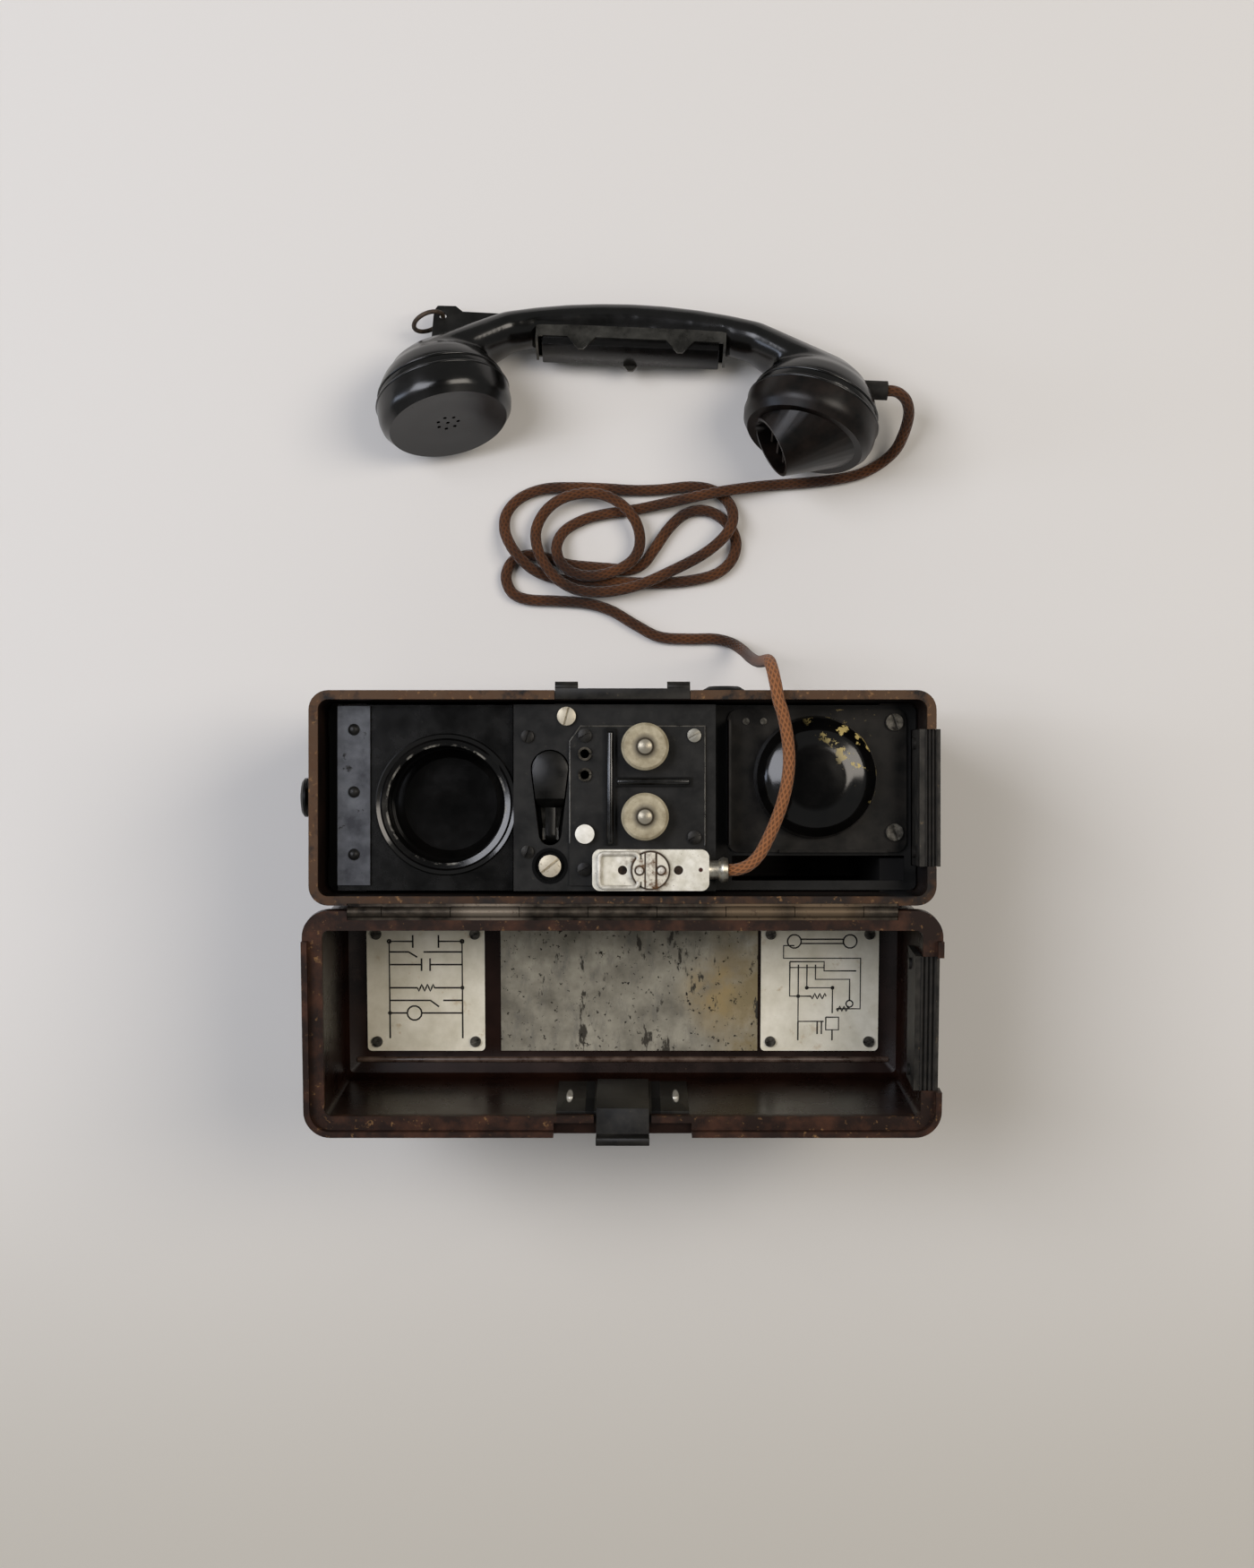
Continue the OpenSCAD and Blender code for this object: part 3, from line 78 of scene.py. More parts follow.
# Matt emulsion: an even pale grey, painted a little warmer and darker towards the near edge as
# painted shade where the light falls off.
near_edge, far_edge = -0.42, -0.05
bpy.ops.mesh.primitive_plane_add(size=6, location=(0, 0, -0.0002))
floor = bpy.context.object
floor.name = "floor"
floor_paint = bpy.data.materials.new("floor_paint")
floor_paint.use_nodes = True
floor_bsdf = floor_paint.node_tree.nodes["Principled BSDF"]
floor_place = add(floor_paint, "TexCoord").outputs["Object"]
floor_split = add(floor_paint, "SeparateXYZ", {0: floor_place})
floor_painted_falloff = add(floor_paint, "MapRange", {0: floor_split.outputs[1], 1: near_edge, 2: far_edge},
                 interpolation_type="SMOOTHSTEP")
floor_tone = add(floor_paint, "Mix", {0: floor_painted_falloff.outputs[0], 6: linear("#c4bfb5"), 7: linear("#dedbd7")},
                 data_type="RGBA")
link(floor_paint, floor_tone.outputs[2], floor_bsdf.inputs["Base Color"])
floor_bsdf.inputs["Roughness"].default_value = 0.9
floor_bsdf.inputs["Specular IOR Level"].default_value = 0.1
floor.data.materials.append(floor_paint)

dark_overhead, dim_sides = 0.05, 0.24
sky = bpy.data.worlds.new("sky")
scene.world = sky
sky.use_nodes = True
tent = sky.node_tree.nodes["Background"]
tent.inputs[0].default_value = linear("#f8f8f6")
tent_side = add(sky, "SeparateXYZ", {0: add(sky, "TexCoord").outputs["Generated"]})
tent_glow = add(sky, "MapRange", {0: tent_side.outputs[2], 1: 0.96, 2: 0.88, 3: dark_overhead, 4: dim_sides})
link(sky, tent_glow.outputs[0], tent.inputs[1])


def lamp(name, place, aim, width, height, watts, colour):
    data = bpy.data.lights.new(name, "AREA")
    data.shape = "RECTANGLE"
    data.size, data.size_y, data.energy = width, height, watts
    data.color = linear(colour)[:3]
    obj = bpy.data.objects.new(name, data)
    scene.collection.objects.link(obj)
    obj.location = place
    obj.rotation_euler = (Vector(aim) - Vector(place)).to_track_quat("-Z", "Y").to_euler()


lamp("left_bank", (-1.3, 0.5, 2.1), (0, 0, 0), 1.1, 1.5, 36, "#f4f6ff")
lamp("right_bank", (1.3, 0.45, 2.1), (0, 0, 0), 1.0, 1.4, 26, "#fff6ea")
lamp("window", (-2.0, 0.1, 0.75), (0, 0, 0.1), 0.4, 1.0, 6, "#dce8ff")

# Handset cord
# A limp lead of stranded wires in a woven brown cotton braid, one length from the plug to the
# handset. It comes over the front wall, drops to the floor and lies there in loose crossing loops.
lead = 0.0055
low, half, top = 2.95, 5.9, 9.05
cord_route = [
    (46.4, -31.567, 136), (49.8, -31.467, 136), (55, -29.6, 136.2), (59.6, -25.2, 136.8),
    (63.4, -18.4, 137.4), (66.9, -10.4, 138.2), (69.8, -2, 139), (71.8, 7, 139.9), (72.6, 16.5, 140.8),
    (71.7, 27, 142), (69.6, 37, 143.55), (67.9, 42, 144.25), (66.8, 48, 144.05), (65.8, 54, 140.6),
    (65, 58.4, 135.4), (64.4, 60.6, 128), (64, 61.4, 110.6), (63.6, 62.4, 84), (63, 64.2, 56),
    (61.4, 67.6, 29.4), (58.6, 71.8, 14), (53.4, 75.8, 5.35), (45, 78, low), (33, 78, low), (18, 79, low),
    (6, 85, low), (-6, 92, low), (-18, 95.6, low), (-33, 96.8, low), (-47, 97.5, low), (-54.8, 100.7, low),
    (-58, 108.5, low), (-54.8, 116.3, low), (-47, 119.5, low), (-38, 118, low), (-27, 114.8, low),
    (-16, 113.6, low), (-6, 112.8, low), (3, 112.2, low), (10, 115.2, low), (15.5, 122.4, low),
    (22.5, 132.5, low), (30, 139.4, low), (38.5, 141.8, low), (46.5, 139.4, low), (53, 133.4, low),
    (56, 125.5, low), (53.8, 117, low), (46.5, 110.4, low), (34, 107, low), (18, 105.6, low), (2, 106, low),
    (-14, 106.6, low), (-28, 107, low), (-37.5, 109, low + 0.4), (-45, 112.4, half + 0.6),
    (-50.8, 117.4, top + 0.4), (-55.6, 124, top - 0.8), (-58.6, 132, half - 1), (-57.5, 140.5, low),
    (-50.5, 148, low), (-38.5, 152.4, low), (-23, 153, low), (-8, 152.4, low), (6, 151.6, low),
    (19, 152, low), (33, 153.4, low), (43.5, 152, low), (50.8, 147.2, low + 0.4), (54.2, 140, half + 1.8),
    (53, 132.6, top + 0.6), (47.5, 125.5, top), (38, 118.6, half + 0.6), (24.5, 111.4, top),
    (9, 104.6, top), (-7, 101, top), (-21, 101.4, top), (-31, 106, top), (-37.6, 113, top),
    (-42, 121.5, top), (-43, 131.5, half), (-38.6, 140.6, half), (-30.5, 146.6, top), (-20, 149.4, top),
    (-10.5, 148.8, top), (-2, 144.8, top), (4.6, 138.2, top), (8, 130.4, half + 2), (7.8, 122, half + 2),
    (3.4, 115.2, top), (-5.5, 110.6, top), (-15.5, 108.6, top), (-24.6, 110.2, top), (-31, 115.6, top),
    (-32.8, 123.6, half + 1.6), (-28.8, 131.6, low + 0.4), (-19, 137.2, low), (-8, 140, low), (6, 142, low),
    (20, 144.6, half), (33, 147.2, top - 0.6), (46, 149.8, top + 0.6), (62, 152.6, half), (77, 154.4, low),
    (91, 155.4, low), (105, 157, low), (117, 159.6, low), (126.6, 164.2, low + 1.2),
    (134.073, 170.431, 9.433), (137.873, 178.431, 15.933), (139.273, 186.231, 22.433),
    (137.673, 191.831, 26.833), (134.273, 195.031, 29.033), (131.07, 196.295, 29.488),
    (128.073, 196.431, 29.433)]
knots = [Vector(p) / 1000 for p in cord_route]


def between(a, b, c, d, t):
    return 0.5 * (2 * b + (c - a) * t + (2 * a - 5 * b + 4 * c - d) * t * t + (3 * b - a - 3 * c + d) * t ** 3)


per_knot, around = 6, 14
line = []
for i in range(len(knots) - 1):
    a, d = knots[max(i - 1, 0)], knots[min(i + 2, len(knots) - 1)]
    line += [between(a, knots[i], knots[i + 1], d, k / per_knot) for k in range(per_knot)]
line = (line + [knots[-1]])[::-1]
steps = [(b - a).length for a, b in zip(line, line[1:])]
reach = [0.0]
for length in steps:
    reach.append(reach[-1] + length)
braid = bmesh.new()
braid_uv = braid.loops.layers.uv.new("braid")
turns = [2 * math.pi * j / around for j in range(around)]
side = None
rings = []
for i, p in enumerate(line):
    ahead = (line[min(i + 1, len(line) - 1)] - line[max(i - 1, 0)]).normalized()
    side = ahead.cross((0, 0, 1)) if side is None else side - ahead * side.dot(ahead)
    side.normalize()
    up = ahead.cross(side)
    rings.append([braid.verts.new(p + lead / 2 * (math.cos(a) * side + math.sin(a) * up)) for a in turns])
for i in range(len(rings) - 1):
    for j in range(around):
        k = (j + 1) % around
        face = braid.faces.new((rings[i][j], rings[i][k], rings[i + 1][k], rings[i + 1][j]))
        face.smooth = True
        for loop, u, v in zip(face.loops, (j, j + 1, j + 1, j), (i, i, i + 1, i + 1)):
            loop[braid_uv].uv = (u / around, reach[v] * 1000)
braid.faces.new(rings[0][::-1])
braid.faces.new(rings[-1])
cord_mesh = bpy.data.meshes.new("cord_braid")
braid.to_mesh(cord_mesh)
braid.free()
cord = bpy.data.objects.new("cord_braid", cord_mesh)
scene.collection.objects.link(cord)

# Plaited cotton: eight strands each way round the lead make small dull diamonds. The cord is painted
# lighter where it rises into the case, as painted light. The UV map runs along the cord in millimetres.
strands, pitch_mm, rub_mm = 8, 4.2, 1000 / 45
cotton = bpy.data.materials.new("braided_cotton")
cotton.use_nodes = True
cotton_bsdf = cotton.node_tree.nodes["Principled BSDF"]
thread = add(cotton, "SeparateXYZ", {0: add(cotton, "UVMap", uv_map="braid").outputs[0]})
turned_by = add(cotton, "Math", {0: thread.outputs[0], 1: strands * 2 * math.pi}, operation="MULTIPLY")
along = add(cotton, "Math", {0: thread.outputs[1], 1: 2 * math.pi / pitch_mm}, operation="MULTIPLY")
lays = []
for way in ("ADD", "SUBTRACT"):
    lay = add(cotton, "Math", {0: turned_by.outputs[0], 1: along.outputs[0]}, operation=way)
    lays.append(add(cotton, "Math", {0: lay.outputs[0]}, operation="SINE").outputs[0])
strand = add(cotton, "Math", {0: lays[0], 1: lays[1]}, operation="MAXIMUM")
cotton_place = add(cotton, "TexCoord").outputs["Object"]
rub = add(cotton, "TexNoise", {"Vector": cotton_place, "Scale": 1000 / rub_mm, "Detail": 3})
rub_part = add(cotton, "MapRange", {0: rub.outputs[0], 1: 0.35, 2: 0.7})
brown = add(cotton, "Mix", {0: rub_part.outputs[0], 6: linear("#341d0e"), 7: linear("#5d3619")},
            data_type="RGBA")
cotton_height = add(cotton, "SeparateXYZ", {0: cotton_place})
# painted light: the cord is lighter the higher it lies
painted_light_by_height = add(cotton, "MapRange", {0: cotton_height.outputs[2], 1: 0.02, 2: 0.14})
brown = add(cotton, "Mix", {0: painted_light_by_height.outputs[0], 6: brown.outputs[2], 7: linear("#8c5a36")}, data_type="RGBA")
# painted highlight and shade: each strand is lighter on its crown and darker in the grooves between strands
weave_highlight_and_shade = add(cotton, "MapRange", {0: strand.outputs[0], 1: -0.4, 2: 1.0, 3: 0.55, 4: 1.15})
tinted = add(cotton, "Mix", {0: 1.0, 6: brown.outputs[2], 7: weave_highlight_and_shade.outputs[0]},
             data_type="RGBA", blend_type="MULTIPLY")
link(cotton, tinted.outputs[2], cotton_bsdf.inputs["Base Color"])
weave = add(cotton, "Bump", {"Height": strand.outputs[0], "Strength": 0.6, "Distance": 0.0004})
link(cotton, weave.outputs[0], cotton_bsdf.inputs["Normal"])
cotton_bsdf.inputs["Roughness"].default_value = 0.8
cotton_bsdf.inputs["Specular IOR Level"].default_value = 0.25
cotton_bsdf.inputs["Sheen Weight"].default_value = 0.15
cord.data.materials.append(cotton)
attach(cord, "case")
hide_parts("handset_cord")

# Moulded case
# A deep box pressed from brown phenolic and painted black within. Handling has rubbed its rim
# back to the bare brown.
crease, weld_gap = 0.6, 0.000002


def smoothing():
    group = bpy.data.node_groups.new("smooth_faces", "GeometryNodeTree")
    group.is_modifier = True
    group.interface.new_socket("Geometry", in_out="INPUT", socket_type="NodeSocketGeometry")
    angle = group.interface.new_socket("Angle", in_out="INPUT", socket_type="NodeSocketFloat")
    angle.default_value = crease
    group.interface.new_socket("Geometry", in_out="OUTPUT", socket_type="NodeSocketGeometry")
    new, join = group.nodes.new, group.links.new
    given, made = new("NodeGroupInput"), new("NodeGroupOutput")
    merge = new("GeometryNodeMergeByDistance")
    faces, edges = new("GeometryNodeSetShadeSmooth"), new("GeometryNodeSetShadeSmooth")
    merge.inputs["Distance"].default_value = weld_gap
    faces.domain, edges.domain = "FACE", "EDGE"
    bend, test = new("GeometryNodeInputMeshEdgeAngle"), new("FunctionNodeCompare")
    test.operation = "LESS_THAN"
    join(given.outputs["Geometry"], merge.inputs["Geometry"])
    join(merge.outputs[0], faces.inputs["Geometry"])
    join(faces.outputs[0], edges.inputs["Geometry"])
    join(bend.outputs["Unsigned Angle"], test.inputs[0])
    join(given.outputs["Angle"], test.inputs[1])
    join(test.outputs[0], edges.inputs["Shade Smooth"])
    join(edges.outputs[0], made.inputs[0])
    return group


smooth_faces = smoothing()
smooth_angle = smooth_faces.interface.items_tree["Angle"].identifier


def dress(names, mat, edge_mm=0.0, flats=False):
    all_round = 4.0
    for name in names.split():
        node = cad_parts[name]
        smooth = node.modifiers.new("smooth", "NODES")
        smooth.node_group = smooth_faces
        smooth[smooth_angle] = all_round if edge_mm else crease
        if edge_mm:
            edge = node.modifiers.new("edge", "BEVEL")
            edge.width = edge_mm / 1000
            edge.segments = 2
            edge.limit_method = "ANGLE"
            edge.angle_limit = 0.7
            edge.harden_normals = not flats
        if flats:
            even = node.modifiers.new("even", "WEIGHTED_NORMAL")
            even.mode = "FACE_AREA_WITH_ANGLE"
            even.weight = 70
            even.keep_sharp = True
        node.data.materials.clear()
        node.data.materials.append(mat)


# The grain of a moulding or a paint is finer than the render shows, so it is drawn at two thirds of
# a millimetre.
def mottled(name, dark, light, rough, size_mm, metal=0.0, spread=0.12, shine=0.25):
    grain_mm, relief_mm = 2 / 3, 0.02
    mat = bpy.data.materials.new(name)
    mat.use_nodes = True
    bsdf = mat.node_tree.nodes["Principled BSDF"]
    place = add(mat, "TexCoord").outputs["Object"]
    cloud = add(mat, "TexNoise", {"Vector": place, "Scale": 1000 / size_mm, "Detail": 6, "Roughness": 0.62})
    part = add(mat, "MapRange", {0: cloud.outputs[0], 1: 0.34, 2: 0.68})
    tone = add(mat, "Mix", {0: part.outputs[0], 6: linear(dark), 7: linear(light)}, data_type="RGBA")
    gloss = add(mat, "MapRange", {0: cloud.outputs[0], 1: 0.3, 2: 0.7,
                                  3: rough - spread / 2, 4: rough + spread / 2})
    grain = add(mat, "TexNoise", {"Vector": place, "Scale": 1000 / grain_mm, "Detail": 3})
    relief = add(mat, "Bump", {"Height": grain.outputs[0], "Strength": 0.35, "Distance": relief_mm / 1000})
    link(mat, tone.outputs[2], bsdf.inputs["Base Color"])
    link(mat, gloss.outputs[0], bsdf.inputs["Roughness"])
    link(mat, relief.outputs[0], bsdf.inputs["Normal"])
    bsdf.inputs["Metallic"].default_value = metal
    bsdf.inputs["Specular IOR Level"].default_value = shine
    return mat


def over_coat(mat, mask, colour, rough=None, metal=None):
    bsdf = mat.node_tree.nodes["Principled BSDF"]
    layers = (("Base Color", linear(colour), "RGBA"), ("Roughness", rough, "FLOAT"), ("Metallic", metal, "FLOAT"))
    for socket, value, data in layers:
        if value is None:
            continue
        goal = bsdf.inputs[socket]
        first = goal.links[0].from_socket if goal.links else goal.default_value
        under, over, out = (6, 7, 2) if data == "RGBA" else (2, 3, 0)
        blend = add(mat, "Mix", {0: mask, under: first, over: value}, data_type=data)
        link(mat, blend.outputs[out], goal)


def patches(mat, size_mm, start, end, seed=0.0, stretch=(1, 1, 1)):
    place = add(mat, "TexCoord").outputs["Object"]
    drawn = add(mat, "VectorMath", {0: place, 1: stretch}, operation="MULTIPLY").outputs[0]
    noise = add(mat, "TexNoise", {"Vector": drawn, "W": seed, "Scale": 1000 / size_mm, "Detail": 5,
                                  "Roughness": 0.65}, noise_dimensions="4D")
    return add(mat, "MapRange", {0: noise.outputs[0], 1: start, 2: end}).outputs[0]


def rising(mat, direction, start_mm, end_mm):
    place = add(mat, "TexCoord").outputs["Object"]
    level = add(mat, "VectorMath", {0: place, 1: direction}, operation="DOT_PRODUCT").outputs["Value"]
    return add(mat, "MapRange", {0: level, 1: start_mm / 1000, 2: end_mm / 1000}).outputs[0]


def both(mat, a, b):
    return add(mat, "Math", {0: a, 1: b}, operation="MULTIPLY").outputs[0]


def near(mat, spots_mm, radius_mm, soft_mm=0.4):
    place = add(mat, "TexCoord").outputs["Object"]
    flat = add(mat, "VectorMath", {0: place, 1: (1, 1, 0)}, operation="MULTIPLY").outputs[0]
    mask = 0.0
    for x, y in spots_mm:
        spot = (x / 1000, y / 1000, 0)
        away = add(mat, "VectorMath", {0: flat, 1: spot}, operation="DISTANCE").outputs["Value"]
        disc = add(mat, "MapRange", {0: away, 1: (radius_mm + soft_mm) / 1000, 2: radius_mm / 1000}).outputs[0]
        mask = add(mat, "Math", {0: disc, 1: mask}, operation="MAXIMUM").outputs[0]
    return mask


# Pressed phenolic: nearly black with a warm cloud in it, half glossy, dulled by faint scuffs and
# specks. The rim is worn to dull brown with pale chips, and the corner behind the bell is black.
phenolic = mottled("pressed_phenolic_case", "#0e0a08", "#22150e", 0.42, 22)
over_coat(phenolic, patches(phenolic, 9, 0.6, 0.74, seed=21, stretch=(0.3, 0.3, 1)), "#2e2017", 0.58)
over_coat(phenolic, patches(phenolic, 1.5, 0.69, 0.76, seed=23), "#4c3b2c", 0.7)
case_rim = rising(phenolic, (0, 0, 1), 137.6, 139.4)
front_rim = both(phenolic, case_rim, rising(phenolic, (-0.2, 1, 0), -36, 0))
over_coat(phenolic, case_rim, "#1d120a", 0.55)
over_coat(phenolic, front_rim, "#4d3724", 0.6)
over_coat(phenolic, both(phenolic, case_rim, patches(phenolic, 14, 0.46, 0.68)), "#4b3019", 0.6)
over_coat(phenolic, both(phenolic, case_rim, patches(phenolic, 2.6, 0.58, 0.7, seed=3)), "#87643f", 0.7)
over_coat(phenolic, both(phenolic, case_rim, patches(phenolic, 9, 0.52, 0.66, seed=9)), "#120c08", 0.5)
over_coat(phenolic, near(phenolic, [(122, -33)], 10, 2), "#060505", 0.8)
dress("case_body", phenolic, 0.7, flats=True)

# Piano hinge
# Two dull nickelled leaves with rolled knuckles on one long pin, screwed to the backs of the
# case and the lid.

# Nickel plate: a soft grey shine with brown tarnish in spots, a pale patch of painted highlight on its
# left end and two patches of lighter brown towards its right.
hinge_nickel = mottled("dull_nickel", "#1f1c19", "#585046", 0.4, 9, metal=0.85)
# painted highlight: a pale patch on the left end of the hinge
over_coat(hinge_nickel, near(hinge_nickel, [(-58, -50)], 8, 12), "#83786a", 0.42, 0.8)
over_coat(hinge_nickel, near(hinge_nickel, [(56, -50), (88, -50)], 8, 13), "#6b5b48", 0.45, 0.6)
over_coat(hinge_nickel, patches(hinge_nickel, 3, 0.56, 0.7), "#33251a", 0.7, 0.2)
dress("hinge_leaf_case hinge_leaf_lid hinge_pin", hinge_nickel)

# Latch
# A pressed steel keeper on the case front, and in the lid a riveted plate that carries a long
# spring tongue, all blackened and worn.


def band(mat, low_mm, high_mm, soft_mm):
    left = rising(mat, (1, 0, 0), low_mm, low_mm + soft_mm)
    right = rising(mat, (-1, 0, 0), -high_mm, soft_mm - high_mm)
    return both(mat, left, right)


# Blackened steel: a dull dark sheen with thin brown wear and bare rivet heads, and two black bands
# of painted shade where the notches are.
notch_half, notch_soft = 2.2, 0.4
blackened = mottled("blackened_steel", "#0f0e0d", "#282622", 0.45, 8, metal=0.25)
over_coat(blackened, patches(blackened, 2.2, 0.66, 0.76), "#5c5042", 0.6, 0.4)
over_coat(blackened, near(blackened, [(-24, -135.2), (24, -135.2)], 1.2), "#c9c5ba", 0.4, 0.3)
# painted shade: two black bands stand for the notches
for middle in (-14.6, 14.9):
    notch_shade = band(blackened, middle - notch_half, middle + notch_half, notch_soft)
    over_coat(blackened, both(blackened, notch_shade, rising(blackened, (0, -1, 0), 127.5, 128.2)), "#040404", 0.8)
over_coat(blackened, near(blackened, [(-0.7, -127.2)], 1.1, 0.3), "#cfccc2", 0.35)
dress("latch_keeper latch_plate latch_tongue", blackened, 0.25)

# Cord ports
# Blocks of ribbed rubber set in the right-hand rims of the case and the lid, pinched between
# two painted plates.

# Vulcanised rubber: a dry dark grey without shine.
rubber = mottled("aged_rubber", "#12110f", "#2b2824", 0.72, 5)
dress("port_rubber_case port_rubber_lid handset_gland", rubber)
# Brushed paint on steel: black with tan metal where it has rubbed through.
clamp_paint = mottled("worn_clamp_paint", "#171614", "#383530", 0.5, 7, metal=0.2)
over_coat(clamp_paint, patches(clamp_paint, 3, 0.62, 0.74), "#75654e", 0.5, 0.5)
dress("port_clamp_case port_clamp_lid", clamp_paint)

# Strap studs, side plate and crank bush
# Turned studs for the carrying strap, a doubling plate under the left one, and the bush that
# the crank goes into.

# Stoved enamel on steel: an even black with a soft gloss.
black_enamel = mottled("black_enamel", "#0d0d0c", "#1f1e1c", 0.38, 12, metal=0.1)
dress("strap_studs side_plate crank_bush", black_enamel)

# Chassis
# A pressed steel deck that carries everything in the case and lifts out with it, in a black paint
# that stays dark between the parts.
deck_paint = mottled("deck_paint", "#060605", "#11100e", 0.42, 10)
dress("chassis_deck", deck_paint)

# Receiver recess
# A painted plate with a raised ring, and a deep glossy bowl in it that takes the ear cap. A grey
# strip with three rivets edges it on the left.
bowl_centre = (-78, -3)

# Gloss paint on steel: deep black with fine grey nicks.
plate_paint = mottled("receiver_plate_paint", "#050504", "#100f0d", 0.26, 14)
over_coat(plate_paint, patches(plate_paint, 2.0, 0.68, 0.76), "#46423a", 0.5)
dress("receiver_plate", plate_paint)
# Lacquer: wet-looking black with sharp highlights, rubbed grey along the edge of the bowl.
bowl_gloss = mottled("bowl_lacquer", "#050505", "#0d0c0b", 0.14, 16, shine=0.5)
worn_edge = both(bowl_gloss, near(bowl_gloss, [bowl_centre], 26.7, 0.3), patches(bowl_gloss, 6, 0.5, 0.62, 12))
over_coat(bowl_gloss, both(bowl_gloss, worn_edge, rising(bowl_gloss, (0, 0, 1), 125.2, 125.7)), "#6f6c64", 0.35)
dress("receiver_bowl", bowl_gloss)
# Grey paint on steel: a cool even tone, blotched with dark stains.
strip_paint = mottled("grey_strip_paint", "#35363a", "#5d5f63", 0.4, 14, metal=0.3)
over_coat(strip_paint, patches(strip_paint, 4, 0.62, 0.7), "#1c1b1a", 0.6)
dress("edge_strip", strip_paint)
dress("strip_rivets", black_enamel)

# Panel
# A thick black phenolic block with a moulded plate on it, ribbed between the terminals and
# greyed by dust.
ringed_screw = (-32, -30.067)

# Moulded phenolic: dull black with grey dust, glossier on the ribs and round the large screw.
panel_black = mottled("panel_phenolic", "#0b0b0a", "#1d1c1a", 0.42, 9)
over_coat(panel_black, patches(panel_black, 2.4, 0.62, 0.82), "#3a372f", 0.65)
over_coat(panel_black, rising(panel_black, (0, 0, 1), 131.8, 132.2), "#080807", 0.3)
over_coat(panel_black, near(panel_black, [ringed_screw], 7.8), "#040404", 0.25)
dress("panel_block terminal_plate", panel_black)

# Panel ridges
# The rounded tops of the two ribs that part the terminals, moulded with the plate and rubbed
# glossy by fingers.


def rounded_rod(radius_mm, length_mm, place_mm, turn):
    bpy.ops.object.select_all(action="DESELECT")
    bpy.ops.mesh.primitive_cylinder_add(
        vertices=24, radius=radius_mm / 1000, depth=length_mm / 1000, location=Vector(place_mm) / 1000,
        rotation=[math.radians(a) for a in turn])
    rod = bpy.context.object
    bpy.ops.object.transform_apply(location=True, rotation=True, scale=True)
    ends = rod.modifiers.new("ends", "BEVEL")
    ends.width = 0.0008
    ends.segments = 3
    ends.angle_limit = 1.0
    bpy.ops.object.modifier_apply(modifier="ends")
    bpy.ops.object.shade_smooth_by_angle(angle=crease)
    return rod


def joined(name, pieces):
    bpy.ops.object.select_all(action="DESELECT")
    for piece in pieces:
        piece.select_set(True)
    bpy.context.view_layer.objects.active = pieces[0]
    bpy.ops.object.join()
    whole = bpy.context.object
    whole.name = name
    return whole


# Rubbed phenolic: black with a long bright highlight.
ridge_gloss = mottled("rubbed_ridges", "#090908", "#1b1a18", 0.2, 6, shine=0.6)
upright_ridge = rounded_rod(1.6, 49.5, (-5.35, 4.4, 133.2), (90, 0, 0))
cross_ridge = rounded_rod(1.6, 32, (13.5, 7.1, 133.2), (0, 90, 0))
ridges = joined("panel_ridges", [upright_ridge, cross_ridge])
ridges.data.materials.append(ridge_gloss)
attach(ridges, "case")

# Plate edge
# The sharp upper edge of the terminal plate, traced as a thin grey line: a painted highlight along
# the edge.


def alone(obj):
    bpy.ops.object.select_all(action="DESELECT")
    bpy.context.view_layer.objects.active = obj
    obj.select_set(True)


def traced(name, strokes_mm, height_mm, thick_mm, roundness):
    data = bpy.data.curves.new(name, "CURVE")
    data.dimensions = "3D"
    data.bevel_depth = thick_mm / 2000
    data.bevel_resolution = roundness
    data.use_fill_caps = True
    for stroke in strokes_mm:
        spline = data.splines.new("POLY")
        spline.points.add(len(stroke) - 1)
        for point, (x, y) in zip(spline.points, stroke):
            point.co = (x / 1000, y / 1000, height_mm / 1000, 1)
    obj = bpy.data.objects.new(name, data)
    scene.collection.objects.link(obj)
    alone(obj)
    bpy.ops.object.convert(target="MESH")
    obj = bpy.context.object
    obj.data.materials.clear()
    return obj


# Painted highlight: phenolic drawn a broken grey with a little shine.
edge_highlight_paint = mottled("plate_edge_painted_highlight", "#1a1917", "#5b5850", 0.3, 5, shine=0.5)
edge_corners = [(-23.2, -20), (-23.2, 24.9), (-18.5, 31.5), (36.2, 31.5), (36.2, -21)]
plate_edge = traced("plate_edge", [edge_corners], 131.42, 0.8, 2)
plate_edge.data.materials.append(edge_highlight_paint)
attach(plate_edge, "case")

# Screws
# Slotted screws, proud of the panel: three of yellowed nickel that are often undone, the rest
# still in their black paint.
screw_mixed = mottled("panel_screw_metal", "#0f0e0d", "#2b2925", 0.4, 4, metal=0.3)
bare = near(screw_mixed, [(-24.7, 35.867), ringed_screw], 5.6)
over_coat(screw_mixed, bare, "#bdb4a0", 0.42, 0.3)
over_coat(screw_mixed, near(screw_mixed, [(31.5, 27.4)], 4.6), "#8d8a80", 0.42, 0.4)
over_coat(screw_mixed, both(screw_mixed, bare, patches(screw_mixed, 1.6, 0.56, 0.7, 5)), "#6a5c40", 0.6)
dress("panel_screws", screw_mixed, 0.2)

# Line terminals
# Sprung knobs of yellowed moulding on brass posts: a wire is pinched under each. Beside them two
# metal sockets take the pins of a lead.
knobs = [(9.8, 22.4), (9.8, -8.2)]

# Moulded urea: yellowed and waxy, with a dark ring in the hollow round the metal dome that is partly
# finger grime and partly painted shade.
terminal_ivory = mottled("yellowed_urea", "#8c8168", "#b6ac92", 0.5, 5)
over_coat(terminal_ivory, patches(terminal_ivory, 1.2, 0.6, 0.8), "#7d735d", 0.7)
over_coat(terminal_ivory, near(terminal_ivory, knobs, 3.6, 2.6), "#3b3429", 0.6)
over_coat(terminal_ivory, near(terminal_ivory, knobs, 2.9), "#9b9484", 0.35, 0.5)
dress("terminal_knob_a terminal_knob_b", terminal_ivory, 0.3)
